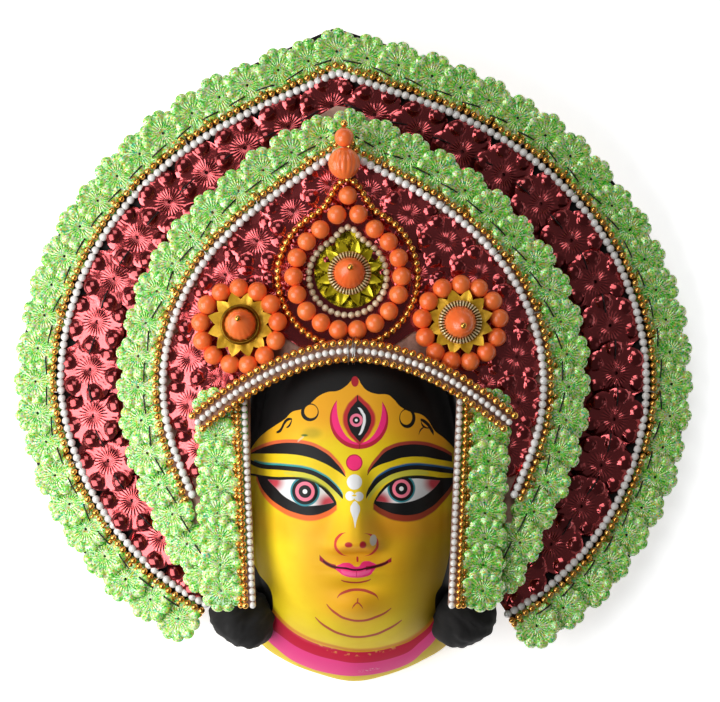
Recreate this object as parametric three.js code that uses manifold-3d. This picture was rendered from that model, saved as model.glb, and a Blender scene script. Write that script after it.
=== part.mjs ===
// A chhau dance mask: a painted papier-mache face shell, open behind, under a two-tier crown of card,
// foil flowers and bead strands. It lies on its back, as it rests on a table.
// Millimetres. +X is to the right of someone facing the mask, +Y runs from chin to crown,
// +Z comes out of the face, and z = 0 is the table.
import * as THREE from "three";
import { mergeVertices } from "three/addons/utils/BufferGeometryUtils.js";
import Module from "manifold-3d";

const wasm = await Module();
wasm.setup();

// Gap left between pieces that touch.
const clearance = 0.3;
// Gap under trim that lies on a bent board, which leaves room for the bend between two facets.
const trimGap = 0.9;

// Face shell: the rim outline on the table, then the face that rises from it.
const shellWall = 5;
const shellHalfWidth = 74;
const shellCentreY = -82;
const shellTop = 128; // above shellCentreY
const shellBottom = 125.5; // below shellCentreY
const hoodDepth = 52; // of the plain surround that carries the face and the neck
const faceDepth = 88;
const faceHalfWidth = 68;
const foreheadHeight = 115; // face's own half height above shellCentreY
const jawHeight = 108; // and below it
const jawSquareness = 3.4; // power of the curve that the jaw follows
const faceCentreX = 1.2;
const noseLength = 36;
const noseRise = 21;
const noseHalfWidth = 14.5;
const noseTipY = -112;
const mouthY = -130.5;
const mouthHalfWidth = 17;
const chinY = -153;

// Crown: both tiers are bent about the Y axis and drawn as polar curves about one centre.
const crownCentreY = -18;
const boardThickness = 3;
const outerRadius = 185.5; // of the outer pearl strand
const outerShoulder = 8; // how far the top is drawn in, the peak apart
const outerPeak = 19;
const outerPeakWidth = 13; // degrees
const outerPeakAngle = 93;
const outerLeftTaper = 19.5;
const outerLeftPower = 1.1;
const outerRightTaper = 12;
const outerRightPower = 1.5;
const outerEnd = 56; // degrees below the horizontal at each side
const outerFrontZ = 34; // front face of the outer board at x = 0
const outerBend = 900;
const innerRadius = 118;
const innerPeak = 28;
const innerPeakWidth = 18;
const innerPeakAngle = 93;
const innerFlare = 16;
const innerEnd = 55;
const innerStrandEnd = 34;
const tierGap = 30.5; // between the front faces of the two boards at x = 0
const innerBend = 500;

// Trim on both tiers: offsets run outwards from the pearl strand.
const foilThickness = 1.4;
const pearlDiameter = 5;
const goldDiameter = 4.6;
const flowerRadius = 14.5;
const flowerPitch = 20.3;
const flowerRise = 6.6;
const innerFoilWidth = 30;
const foilTuck = 14; // how far the outer foil starts outside the inner pearls

// Brow band.
const browPeakY = 3.7;
const browHalfLength = 96;
const browDrop = 44;
const browPower = 1.85;
const browStripHalfWidth = 6.6;
const browStripThickness = 2;
const smallPearlDiameter = 4.2;
const strandSpacing = 5.2;

// Side panels: the pearl line runs down beside each cheek.
const panelTopX = 66;
const panelBottomX = 60.5;
const panelTopY = -28;
const panelBottomY = -153;
const panelBoardThickness = 1.5;
const panelWidth = 31;
const panelLean = 8; // how much further forward the lower end stands
const panelFlowerCount = 6;
const panelFlowerRise = 4.6;
const panelFlowerReach = 4.5; // taken off the width at the pointed top

// Hair bunches beside the neck.
const bunchInset = 4; // of its middle from the widest line of the shell
const bunchY = -163.5;
const bunchRadii = [22, 21, 19];
const bunchZ = 38;

// Bead rosettes on the inner tier.
const orangeDiameter = 11.7;
const dropX = -3.4;
const dropY = 49.5;
const dropRadius = 33.2;
const dropPeak = 8.5;
const dropPeakWidth = 15;
const dropBeadCount = 18;
const outlineMargin = 1.8; // between the orange beads and the gold outline
const outlinePeakRoom = 2; // left over the apex bead
const outlinePeakWidth = 13;
const dropPearlRadius = 24;
const dropPearlPeak = 6.5;
const strandCrowding = 0.11; // how far a loop's stations gather at its peak
const rosetteBeadCount = 13;
const rosetteRadius = 24;
const rosetteStations = { left: -55, right: 50.5 }; // where each rosette stands along the brow band
const rosetteTuck = 1.5; // how far its beads reach under the band's gold strand
const foilFlowerRadius = 18.8;
const foilFlowerTips = 12;
const foilFlowerThickness = 1.2;
const foilFlowerHeight = { centre: 5, side: 11 };
const stemRadius = 6;
const bezelRadius = 13;
const bezelWidth = 2.4;
const bezelHeight = 3.4;
const domeRadius = 10.2;
const domeHeight = 13;
const tipBeadDiameter = 4.8;

// Finial at the peak of the inner tier.
const finialX = -5.6;
const finialRise = 18.5; // of the fluted bead's centre above the inner pearls' plain circle
const flutedDiameter = 19.5;

// Hidden wires.
const postDiameter = 3;
const postAngles = [-34, 28, 90, 152, 214];
const postOffset = 5; // outside the inner pearls
const rimWireDiameter = 3;
const rimWireInset = 3.4; // of the wire's centre line from the edge of the board

const colours = {
  facePaint: { color: 0xe9c21f, roughness: 0.5 },
  pearl: { color: 0xf0eee8, roughness: 0.25 },
  gold: { color: 0xd8932a, roughness: 0.25, metalness: 0.9 },
  greenFoil: { color: 0x6dbf58, roughness: 0.35, metalness: 0.4 },
  redFoil: { color: 0x9c1220, roughness: 0.25, metalness: 0.8 },
  yellowFoil: { color: 0xe6c324, roughness: 0.25, metalness: 0.7 },
  orangePlastic: { color: 0xf7672d, roughness: 0.3 },
  card: { color: 0x2b2422, roughness: 0.8 },
  felt: { color: 0xc9a08a, roughness: 0.9 },
  hairCloth: { color: 0x161414, roughness: 0.85 },
  wire: { color: 0x3a3634, roughness: 0.5, metalness: 0.8 },
};

const { degToRad, radToDeg, clamp, smoothstep } = THREE.MathUtils;

// Geometry of a closed mesh from its vertices and triangles, turned to face outwards.
function closedGeometry(vertices, triangles) {
  let volume = 0;
  for (const [a, b, c] of triangles) {
    const [p, q, r] = [vertices[a], vertices[b], vertices[c]];
    volume += p[0] * (q[1] * r[2] - q[2] * r[1]);
    volume += p[1] * (q[2] * r[0] - q[0] * r[2]);
    volume += p[2] * (q[0] * r[1] - q[1] * r[0]);
  }
  const index = triangles.flatMap(([a, b, c]) => (volume < 0 ? [a, c, b] : [a, b, c]));
  const geometry = new THREE.BufferGeometry();
  geometry.setAttribute("position", new THREE.Float32BufferAttribute(vertices.flat(), 3));
  geometry.setIndex(index);
  return geometry;
}

// A solid through rings of points, each ring with the same number of points. An open loft is capped
// with the triangles of its section, and a closed one joins its last ring to its first.
function loft(rings, section, closed = false) {
  const sides = rings[0].length;
  const triangles = [];
  const spans = closed ? rings.length : rings.length - 1;
  for (let i = 0; i < spans; i++) {
    const here = i * sides;
    const next = ((i + 1) % rings.length) * sides;
    for (let k = 0; k < sides; k++) {
      const m = (k + 1) % sides;
      triangles.push([here + k, here + m, next + m], [here + k, next + m, next + k]);
    }
  }
  if (!closed) {
    const cap = THREE.ShapeUtils.triangulateShape(section.map(([u, v]) => new THREE.Vector2(u, v)), []);
    const turned = THREE.ShapeUtils.area(section.map(([u, v]) => ({ x: u, y: v }))) < 0;
    const last = (rings.length - 1) * sides;
    for (const [a, b, c] of cap) {
      const [p, q] = turned ? [b, c] : [c, b];
      triangles.push([a, p, q], [last + a, last + q, last + p]);
    }
  }
  return closedGeometry(rings.flat(), triangles);
}

// manifold-3d solid of a closed geometry, and back.
function solidOf(geometry) {
  const bare = geometry.clone();
  bare.deleteAttribute("normal");
  bare.deleteAttribute("uv");
  const merged = mergeVertices(bare, 1e-4);
  return new wasm.Manifold(
    new wasm.Mesh({
      numProp: 3,
      vertProperties: merged.attributes.position.array,
      triVerts: new Uint32Array(merged.index.array),
    }),
  );
}

function geometryOf(solid) {
  const mesh = solid.getMesh();
  const geometry = new THREE.BufferGeometry();
  geometry.setAttribute("position", new THREE.BufferAttribute(mesh.vertProperties, 3));
  geometry.setIndex(new THREE.BufferAttribute(mesh.triVerts, 1));
  return geometry;
}

const mask = new THREE.Group();

function addPiece(name, geometry, colour) {
  const material = new THREE.MeshStandardMaterial(colours[colour]);
  const mesh = new THREE.Mesh(geometry, material);
  mesh.name = name;
  mask.add(mesh);
  return mesh;
}

// Rim outline of the shell, as points round it from the crown, clockwise.
const rimHalf = [
  [0, shellTop],
  [0.54 * shellHalfWidth, 0.93 * shellTop],
  [0.88 * shellHalfWidth, 0.6 * shellTop],
  [shellHalfWidth, 0.16 * shellTop],
  [0.985 * shellHalfWidth, -0.25 * shellBottom],
  [0.94 * shellHalfWidth, -0.56 * shellBottom],
  [0.82 * shellHalfWidth, -0.8 * shellBottom],
  [0.45 * shellHalfWidth, -0.93 * shellBottom],
  [0, -shellBottom],
];
const rimCurve = new THREE.CatmullRomCurve3(
  [...rimHalf, ...rimHalf.slice(1, -1).reverse().map(([x, y]) => [-x, y])].map(
    ([x, y]) => new THREE.Vector3(x, y, 0),
  ),
  true,
);
const rimAngles = 256;
const rimReach = (() => {
  const reach = new Array(rimAngles).fill(0);
  for (const point of rimCurve.getPoints(8 * rimAngles)) {
    const turn = Math.atan2(point.y, point.x) / (2 * Math.PI);
    reach[Math.round((turn + 1) * rimAngles) % rimAngles] = Math.hypot(point.x, point.y);
  }
  return reach;
})();

// Distance from the shell's centre to its rim in the direction of an angle in radians.
function rimDistance(angle) {
  const place = (((angle / (2 * Math.PI)) % 1) + 1) % 1 * rimAngles;
  const low = Math.floor(place) % rimAngles;
  return THREE.MathUtils.lerp(rimReach[low], rimReach[(low + 1) % rimAngles], place - Math.floor(place));
}

// A round swelling: 1 at its middle, falling to nothing a little past its half sizes.
function swell(dx, dy, halfX, halfY) {
  return Math.exp(-1.2 * ((dx / halfX) ** 2 + (dy / halfY) ** 2));
}

function noseHeight(x, y) {
  const along = (noseTipY + noseLength - y) / noseLength; // 0 at the bridge, 1 at the tip
  if (along < -0.4) return 0;
  const half = noseHalfWidth * (0.55 + 0.45 * clamp(along, 0, 1) ** 2);
  const below = 9; // from the tip to the lip
  const ridge = along < 1 ? 0.2 + 0.8 * clamp(along, 0, 1) ** 1.4 : 1 - smoothstep(noseTipY - y, 2, below);
  const fade = smoothstep(along, -0.4, 0);
  return noseRise * ridge * fade * Math.exp(-1.3 * Math.abs(x / half) ** 2.6);
}

// Height of the shell's outer face over a point, nothing outside the rim.
function shellHeight(x, y) {
  const dx = x;
  const dy = y - shellCentreY;
  const out = Math.hypot(dx, dy) / rimDistance(Math.atan2(dy, dx));
  if (out >= 1) return 0;
  const hood = hoodDepth * (1 - out ** 4) ** (1 / 2.2);
  const fx = Math.abs(x - faceCentreX) / faceHalfWidth;
  const fy = Math.abs(dy) / (dy > 0 ? foreheadHeight : jawHeight);
  const inside = 1 - fx ** 2.4 - fy ** (dy > 0 ? 2.4 : jawSquareness);
  if (inside <= 0) return hood;
  const face = faceDepth * inside ** (1 / 2.2);
  const u = x - faceCentreX;
  const relief =
    noseHeight(u, y) +
    4.5 * swell(u, y - mouthY, mouthHalfWidth, 7) -
    1.6 * swell(u, y - mouthY, 1.2 * mouthHalfWidth, 1.6) -
    2.5 * swell(u, y - mouthY + 11, 14, 4) +
    5.5 * swell(u, y - chinY, 16, 11) +
    2.5 * (swell(u - 33, y - noseTipY, 20, 20) + swell(u + 33, y - noseTipY, 20, 20)) -
    3 * (swell(u - 17, y + 86, 9, 9) + swell(u + 17, y + 86, 9, 9));
  const blend = smoothstep(inside, 0, 0.3);
  return Math.max(hood, face + relief * blend);
}

// The shell: its outer face, an inner face drawn in by the wall, and the flat rim between them.
function shellGeometry(wall, grow, hollow) {
  const around = 34;
  const outerRings = 15;
  const innerRings = 6;
  const vertices = [];
  const triangles = [];
  const ringOf = (share, scaleX, scaleY, scaleZ) => {
    const start = vertices.length;
    for (let i = 0; i < around; i++) {
      const angle = (2 * Math.PI * i) / around + Math.PI / 2;
      const rim = rimDistance(angle);
      const x = share * rim * Math.cos(angle);
      const y = share * rim * Math.sin(angle);
      const z = share < 1 ? shellHeight(x, y + shellCentreY) : 0;
      vertices.push([x * scaleX, shellCentreY + y * scaleY, z * scaleZ]);
    }
    return start;
  };
  const joinRings = (a, b, flip) => {
    for (let i = 0; i < around; i++) {
      const n = (i + 1) % around;
      const quad = [a + i, a + n, b + n, b + i];
      if (flip) quad.reverse();
      triangles.push([quad[0], quad[1], quad[2]], [quad[0], quad[2], quad[3]]);
    }
  };
  const face = (rings, scaleX, scaleY, scaleZ, flip) => {
    // Rings crowd towards the rim, where the sides are steep.
    const shares = Array.from({ length: rings }, (_, j) => Math.cos((0.5 * Math.PI * j) / rings) ** 0.9);
    const starts = shares.map((share) => ringOf(share, scaleX, scaleY, scaleZ));
    for (let j = 1; j < rings; j++) joinRings(starts[j - 1], starts[j], flip);
    const top = vertices.length;
    vertices.push([0, shellCentreY, shellHeight(0, shellCentreY) * scaleZ]);
    for (let i = 0; i < around; i++) {
      const last = starts[rings - 1];
      const tip = [last + i, last + ((i + 1) % around), top];
      if (flip) tip.reverse();
      triangles.push(tip);
    }
    return starts[0];
  };
  const outerRim = face(
    outerRings,
    1 + grow / shellHalfWidth,
    1 + grow / shellBottom,
    1 + grow / hoodDepth,
    false,
  );
  if (hollow) {
    const innerRim = face(
      innerRings,
      1 - wall / shellHalfWidth,
      1 - wall / shellBottom,
      1 - wall / faceDepth,
      true,
    );
    joinRings(innerRim, outerRim, false);
  } else {
    const floor = vertices.length;
    vertices.push([0, shellCentreY, 0]);
    for (let i = 0; i < around; i++) triangles.push([outerRim + ((i + 1) % around), outerRim + i, floor]);
  }
  return closedGeometry(vertices, triangles);
}

// Steps round each tier.
const outerSteps = 30;
const innerSteps = 24;

// Degrees by which an angle lies below the horizontal, on whichever side it is.
function belowHorizontal(angle) {
  return angle > 90 ? Math.max(0, angle - 180) : Math.max(0, -angle);
}

const outerTier = {
  front: (x) => outerFrontZ - (x * x) / (2 * outerBend),
  radiusAt(angle) {
    const peak = outerPeak * Math.exp(-Math.abs(angle - outerPeakAngle) / outerPeakWidth);
    const shoulder = outerShoulder * Math.max(0, Math.sin(degToRad(angle))) ** 2;
    const [taper, power] =
      angle > 90 ? [outerLeftTaper, outerLeftPower] : [outerRightTaper, outerRightPower];
    return outerRadius + peak - shoulder - taper * (belowHorizontal(angle) / outerEnd) ** power;
  },
};

const innerTier = {
  front: (x) => outerFrontZ + tierGap - (x * x) / (2 * innerBend),
  radiusAt(angle) {
    const peak = innerPeak * Math.exp(-Math.abs(angle - innerPeakAngle) / innerPeakWidth);
    const flareStart = 20;
    const flare = Math.max(0, belowHorizontal(angle) - flareStart) / (innerEnd - flareStart);
    return innerRadius + peak + innerFlare * flare ** 2;
  },
};

// A point on a tier, from its angle in degrees, its offset outside the pearls and its height on the board.
function onTier(tier, angle, offset, height) {
  const radius = tier.radiusAt(angle) + offset;
  const x = radius * Math.cos(degToRad(angle));
  const y = crownCentreY + radius * Math.sin(degToRad(angle));
  return [x, y, tier.front(x) + height];
}

// Angles from one end of a tier to the other, in so many steps.
function anglesTo(end, steps) {
  return Array.from({ length: steps + 1 }, (_, i) => 180 + end - ((180 + 2 * end) * i) / steps);
}

// A solid that follows a tier. sectionAt gives its outline of [offset, height] at each angle.
function bandOnTier(tier, angles, sectionAt) {
  const sections = angles.map((angle, i) => sectionAt(angle, i));
  const rings = sections.map((section, i) => section.map(([o, h]) => onTier(tier, angles[i], o, h)));
  return loft(rings, sections[0]);
}

// Section of a bead strand: a diamond-like ring round its wire.
function strandSection(offset, base, width, height) {
  const middle = base + height / 2;
  return [
    [offset - width / 2, middle],
    [offset, base],
    [offset + width / 2, middle],
    [offset, base + height],
  ];
}

// Largest radius along a ray from the crown's centre at which inside(x, y) still holds.
function reachFromCentre(angle, inside) {
  let near = 0;
  let far = 2 * outerRadius;
  for (let i = 0; i < 40; i++) {
    const middle = (near + far) / 2;
    const x = middle * Math.cos(degToRad(angle));
    const y = crownCentreY + middle * Math.sin(degToRad(angle));
    if (inside(x, y)) near = middle;
    else far = middle;
  }
  return near;
}

// Height above the inner board of what stands on its foil.
const onFoil = trimGap + foilThickness + clearance;

// Brow band: its pearl line, and points beside it.
const browY = (x) => browPeakY - browDrop * (Math.abs(x) / browHalfLength) ** browPower;
function besideBrow(x, offset) {
  const step = 0.5;
  const slope = (browY(x + step) - browY(x - step)) / (2 * step);
  const length = Math.hypot(1, slope);
  return [x - (offset * slope) / length, browY(x) + offset / length];
}

// Side panels: their pearl line, from top (0) to bottom (1), and points outwards from it.
function onPanel(side, share, offset, height) {
  const x = THREE.MathUtils.lerp(panelTopX, panelBottomX, share) + offset;
  const y = THREE.MathUtils.lerp(panelTopY, panelBottomY, share);
  return [side * x, y, innerTier.front(x) + trimGap + panelLean * share + height];
}

function openingOfCrown(x, y) {
  const shell = shellHeight(x, y) > innerTier.front(x) - boardThickness - 2 * clearance;
  const face = y < browY(x) - browStripHalfWidth + 2 && Math.abs(x) < panelTopX - pearlDiameter / 2;
  return shell || face;
}

function addBoards() {
  const outerEdge = 2 * flowerRadius - 0.5;
  const outerBoard = (gap) =>
    bandOnTier(outerTier, anglesTo(outerEnd + radToDeg(gap / outerRadius), outerSteps), (angle) => {
      const radius = outerTier.radiusAt(angle);
      const inner = reachFromCentre(
        angle,
        (x, y) => shellHeight(x, y) > outerTier.front(x) - boardThickness - 2 * clearance,
      );
      const low = inner - radius + 3 * clearance - gap;
      const high = outerEdge + gap;
      const middle = (low + high) / 2;
      const back = -boardThickness - gap;
      return [
        [low, gap],
        [low, back],
        [middle, back],
        [high, back],
        [high, gap],
        [middle, gap],
      ];
    });
  addPiece("outer_crown_board", outerBoard(0), "card");
  const innerBoard = bandOnTier(innerTier, anglesTo(innerEnd, innerSteps + 4), (angle) => {
    const low = reachFromCentre(angle, openingOfCrown) - innerTier.radiusAt(angle) + 3 * clearance;
    const middle = (low + outerEdge) / 2;
    return [
      [low, 0],
      [low, -boardThickness],
      [middle, -boardThickness],
      [outerEdge, -boardThickness],
      [outerEdge, 0],
      [middle, 0],
    ];
  });
  addPiece("inner_crown_board", innerBoard, "felt");
  return outerBoard(clearance);
}

// Trim of one tier, from the foil inwards of the pearls to the flowers outside the gold strand.
function addTierTrim(name, tier, foilWidthAt, strandEnd, flowerEnd, steps) {
  const pearlBase = trimGap + foilThickness + clearance;
  const goldWidth = 2 * goldDiameter;
  const goldOffset = pearlDiameter / 2 + clearance + goldDiameter;
  const foil = bandOnTier(tier, anglesTo(strandEnd, steps), (angle) => [
    [-foilWidthAt(angle), trimGap],
    [pearlDiameter / 2, trimGap],
    [pearlDiameter / 2, trimGap + foilThickness],
    [-foilWidthAt(angle), trimGap + foilThickness],
  ]);
  addPiece(name + "_red_foil", foil, "redFoil");
  const pearls = bandOnTier(tier, anglesTo(strandEnd, steps), () =>
    strandSection(0, pearlBase, pearlDiameter, pearlDiameter),
  );
  addPiece(name + "_pearl_strand", pearls, "pearl");
  const gold = bandOnTier(tier, anglesTo(strandEnd, steps), () =>
    strandSection(goldOffset, trimGap, goldWidth, goldDiameter),
  );
  addPiece(name + "_gold_strands", gold, "gold");
  const flowerOffset = goldOffset + goldWidth / 2 + clearance;
  const centreOffset = 2 * flowerRadius - 12.5;
  const sweep = degToRad(180 + 2 * flowerEnd) * (tier.radiusAt(0) + centreOffset);
  const count = Math.round(sweep / flowerPitch);
  const flowers = scallops(count, (share, reach, rise) => {
    const angle = 180 + flowerEnd - (180 + 2 * flowerEnd) * share;
    const edge = centreOffset + reach * flowerRadius;
    const section = [
      [flowerOffset, trimGap],
      [flowerOffset + 4, trimGap + rise * flowerRise],
      [edge, trimGap + 0.45 * rise * flowerRise],
      [edge, trimGap],
    ];
    return { section, ring: section.map(([o, h]) => onTier(tier, angle, o, h)) };
  });
  addPiece(name + "_flower_border", flowers, "greenFoil");
}

// A row of scalloped flowers: each gives a notch and two shoulders, as shares of its reach and rise.
function scallops(count, place) {
  const stations = [];
  for (let i = 0; i < count; i++) {
    stations.push([i / count, 0.72, 0.6], [(i + 0.25) / count, 0.97, 1], [(i + 0.75) / count, 0.97, 0.9]);
  }
  stations.push([1, 0.72, 0.6]);
  const placed = stations.map(([share, reach, rise]) => place(share, reach, rise));
  return loft(placed.map((p) => p.ring), placed[0].section);
}

// Most that anything under the brow band stands above the inner board.
function browLift() {
  const panelTop = trimGap + panelBoardThickness + clearance + Math.max(goldDiameter, panelFlowerRise);
  const beadShoulder = onFoil + 0.85 * orangeDiameter - browStripThickness;
  let lift = Math.max(panelTop + panelLean * 0.1, beadShoulder);
  for (let x = -panelTopX; x <= panelTopX; x += 3) {
    for (const offset of [-browStripHalfWidth, 0, browStripHalfWidth]) {
      const [px, py] = besideBrow(x, offset);
      lift = Math.max(lift, shellHeight(px, py) - innerTier.front(px) + clearance);
    }
  }
  return lift + clearance;
}

function addBrowBand() {
  const steps = 12;
  const lift = browLift();
  const along = Array.from({ length: steps + 1 }, (_, i) => browHalfLength * ((2 * i) / steps - 1));
  const follow = (section) =>
    loft(
      along.map((x) =>
        section.map(([offset, height]) => {
          const [px, py] = besideBrow(x, offset);
          return [px, py, innerTier.front(px) + lift + height];
        }),
      ),
      section,
    );
  const strip = [
    [-browStripHalfWidth, 0],
    [browStripHalfWidth, 0],
    [browStripHalfWidth, browStripThickness],
    [-browStripHalfWidth, browStripThickness],
  ];
  addPiece("brow_strip", follow(strip), "felt");
  const top = browStripThickness + clearance;
  const pearls = strandSection(0, top, smallPearlDiameter, smallPearlDiameter);
  addPiece("brow_pearl_strand", follow(pearls), "pearl");
  for (const [name, offset] of [["upper", strandSpacing], ["lower", -strandSpacing]]) {
    const gold = strandSection(offset, top, goldDiameter, goldDiameter);
    addPiece("brow_" + name + "_gold_strand", follow(gold), "gold");
  }
}

function addSidePanels() {
  const strandSteps = [0, 0.5, 1];
  const innerEdge = -smallPearlDiameter / 2;
  for (const [name, side] of [["left", -1], ["right", 1]]) {
    const follow = (section, shares) =>
      loft(shares.map((share) => section.map(([o, h]) => onPanel(side, share, o, h))), section);
    const board = [
      [innerEdge, 0],
      [panelWidth / 2, 0],
      [panelWidth - panelFlowerReach, 0],
      [panelWidth - panelFlowerReach, panelBoardThickness],
      [panelWidth / 2, panelBoardThickness],
      [innerEdge, panelBoardThickness],
    ];
    addPiece(name + "_panel_board", follow(board, strandSteps), "felt");
    const base = panelBoardThickness + clearance;
    const pearls = strandSection(0, base, smallPearlDiameter, smallPearlDiameter);
    addPiece(name + "_panel_pearl_strand", follow(pearls, strandSteps), "pearl");
    const goldOffset = smallPearlDiameter / 2 + clearance + goldDiameter;
    const gold = strandSection(goldOffset, base, 2 * goldDiameter, goldDiameter);
    addPiece(name + "_panel_gold_strands", follow(gold, strandSteps), "gold");
    const flowerOffset = goldOffset + goldDiameter + clearance;
    const flowers = scallops(panelFlowerCount, (share, reach, rise) => {
      const taper = panelFlowerReach * (1 - smoothstep(share, 0, 0.35));
      const edge = flowerOffset + (panelWidth - flowerOffset) * reach - taper;
      const section = [
        [flowerOffset, base],
        [flowerOffset + 4, base + rise * panelFlowerRise],
        [edge, base + 0.45 * rise * panelFlowerRise],
        [edge, base],
      ];
      return { section, ring: section.map(([o, h]) => onPanel(side, share, o, h)) };
    });
    addPiece(name + "_panel_flowers", flowers, "greenFoil");
  }
}

// Cloth bunch at each side of the neck, cut to fit the shell and the end of the outer board.
function addHairBunches(shellToCut, boardToCut) {
  for (const [name, side] of [["left", -1], ["right", 1]]) {
    const ball = new THREE.SphereGeometry(1, 12, 8);
    ball.scale(...bunchRadii);
    ball.translate(side * (shellHalfWidth - bunchInset), bunchY, bunchZ);
    const bunch = solidOf(ball).subtract(shellToCut).subtract(boardToCut);
    const largest = bunch.decompose().sort((a, b) => b.volume() - a.volume())[0];
    addPiece(name + "_hair_bunch", geometryOf(largest), "hairCloth");
  }
}

// Share of its radius to which a bead narrows where it touches the next.
const beadNeck = 0.32;

// A closed run of points round a centre, drawn up at the top when it has a peak.
function loopPoint(centre, radius, peak, peakWidth, turn) {
  const angle = 360 * turn + 90;
  const away = Math.min(360 * turn, 360 - 360 * turn);
  const reach = radius + peak * Math.exp(-((away / peakWidth) ** 2));
  return [centre.x + reach * Math.cos(degToRad(angle)), centre.y + reach * Math.sin(degToRad(angle)), reach];
}

// A ring of round beads on the inner board, joined where they touch, or a plain strand if beads is 0.
function beadLoop(centre, base, radius, peak, peakWidth, diameter, beads, steps) {
  const sides = beads ? 5 : 4;
  const profile = beads ? [[0, beadNeck], [0.3, 0.92], [0.7, 0.92]] : [[0, 1]];
  const count = beads || steps;
  const rings = [];
  for (let i = 0; i < count; i++) {
    for (const [shift, share] of profile) {
      const even = (i + shift) / count;
      const turn = beads ? even : even - strandCrowding * Math.sin(2 * Math.PI * even);
      const [x, y] = loopPoint(centre, radius, peak, peakWidth, turn);
      const [nx, ny] = loopPoint(centre, radius, peak, peakWidth, turn + 0.002);
      const length = Math.hypot(nx - x, ny - y);
      const across = [(y - ny) / length, (nx - x) / length];
      const seat = Math.max(innerTier.front(x) + base, shellHeight(x, y) + 2 * clearance);
      const z = seat + diameter / 2;
      rings.push(
        Array.from({ length: sides }, (_, k) => {
          const roll = (2 * Math.PI * k) / sides;
          const out = (diameter / 2) * share * Math.cos(roll);
          const up = (diameter / 2) * share * Math.sin(roll);
          return [x + across[0] * out, y + across[1] * out, z + up];
        }),
      );
    }
  }
  return loft(rings, [], true);
}

// A solid of revolution about +Z, standing on the inner board at a place, as [radius, height] points.
function standing(place, profile, segments) {
  const geometry = new THREE.LatheGeometry(profile.map(([r, h]) => new THREE.Vector2(r, h)), segments);
  geometry.rotateX(Math.PI / 2);
  geometry.translate(place.x, place.y, innerTier.front(place.x));
  const bare = geometry.clone();
  bare.deleteAttribute("normal");
  bare.deleteAttribute("uv");
  return mergeVertices(bare, 1e-4);
}

// Foil flower on a short stem, a bezel ring and a dome with a gold bead on its tip.
function addSpinner(name, place, height) {
  const star = new THREE.Shape();
  for (let i = 0; i < 2 * foilFlowerTips; i++) {
    const reach = foilFlowerRadius * (i % 2 ? 0.74 : 1);
    const angle = (Math.PI * i) / foilFlowerTips;
    star[i ? "lineTo" : "moveTo"](reach * Math.cos(angle), reach * Math.sin(angle));
  }
  star.closePath();
  const plate = new THREE.ExtrudeGeometry(star, { depth: foilFlowerThickness, bevelEnabled: false });
  plate.translate(place.x, place.y, innerTier.front(place.x) + height);
  const stemTop = height + foilFlowerThickness / 2;
  const stemProfile = [[0, trimGap], [stemRadius, trimGap], [stemRadius, stemTop], [0, stemTop]];
  const stem = standing(place, stemProfile, 8);
  addPiece(name + "_foil_flower", geometryOf(solidOf(plate).add(solidOf(stem))), "yellowFoil");
  const seat = height + foilFlowerThickness + clearance;
  const bezel = [
    [bezelRadius - bezelWidth, seat],
    [bezelRadius, seat],
    [bezelRadius - 0.4, seat + bezelHeight],
    [bezelRadius - bezelWidth, seat + bezelHeight],
    [bezelRadius - bezelWidth, seat],
  ];
  addPiece(name + "_bezel", standing(place, bezel, 12), "gold");
  const dome = [
    [0, seat],
    [domeRadius, seat],
    [domeRadius, seat + 0.3 * domeHeight],
    [0.82 * domeRadius, seat + 0.62 * domeHeight],
    [0.45 * domeRadius, seat + 0.88 * domeHeight],
    [0, seat + domeHeight],
  ];
  addPiece(name + "_dome", standing(place, dome, 10), "orangePlastic");
  const half = tipBeadDiameter / 2;
  const tip = seat + domeHeight + clearance;
  const tipBead = [[0, tip], [half, tip + half], [0, tip + tipBeadDiameter]];
  addPiece(name + "_tip_bead", standing(place, tipBead, 6), "gold");
}

function addRosettes() {
  const drop = { x: dropX, y: dropY };
  const dropBeads = [dropRadius, dropPeak, dropPeakWidth, orangeDiameter, dropBeadCount, 0];
  addPiece("centre_orange_beads", beadLoop(drop, onFoil, ...dropBeads), "orangePlastic");
  // The apex bead stands on the neck at the top of the loop, and the gold outline runs round both.
  const beadRadius = orangeDiameter / 2;
  const apexReach = dropRadius + dropPeak + beadNeck * beadRadius + clearance + beadRadius;
  const outlineRadius = dropRadius + beadRadius + goldDiameter / 2 + outlineMargin;
  const outlineTop = apexReach + beadRadius + clearance + goldDiameter / 2 + outlinePeakRoom;
  const outline = [outlineRadius, outlineTop - outlineRadius, outlinePeakWidth, goldDiameter, 0, 28];
  addPiece("centre_gold_outline", beadLoop(drop, onFoil, ...outline), "gold");
  const pearls = [dropPearlRadius, dropPearlPeak, dropPeakWidth, smallPearlDiameter, 0, 20];
  addPiece("centre_pearl_drop", beadLoop(drop, trimGap, ...pearls), "pearl");
  addSpinner("centre", drop, foilFlowerHeight.centre);
  const apex = new THREE.SphereGeometry(beadRadius, 8, 6);
  apex.translate(dropX, dropY + apexReach, innerTier.front(dropX) + onFoil + beadRadius);
  addPiece("centre_apex_bead", apex, "orangePlastic");
  const tucked = strandSpacing + goldDiameter / 2 + clearance - rosetteTuck;
  for (const [name, station] of Object.entries(rosetteStations)) {
    const [x, y] = besideBrow(station, tucked + rosetteRadius + beadRadius);
    const place = { x, y };
    const ring = [rosetteRadius, 0, 1, orangeDiameter, rosetteBeadCount, 0];
    addPiece(name + "_orange_beads", beadLoop(place, onFoil, ...ring), "orangePlastic");
    addSpinner(name, place, foilFlowerHeight.side);
  }
}

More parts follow.
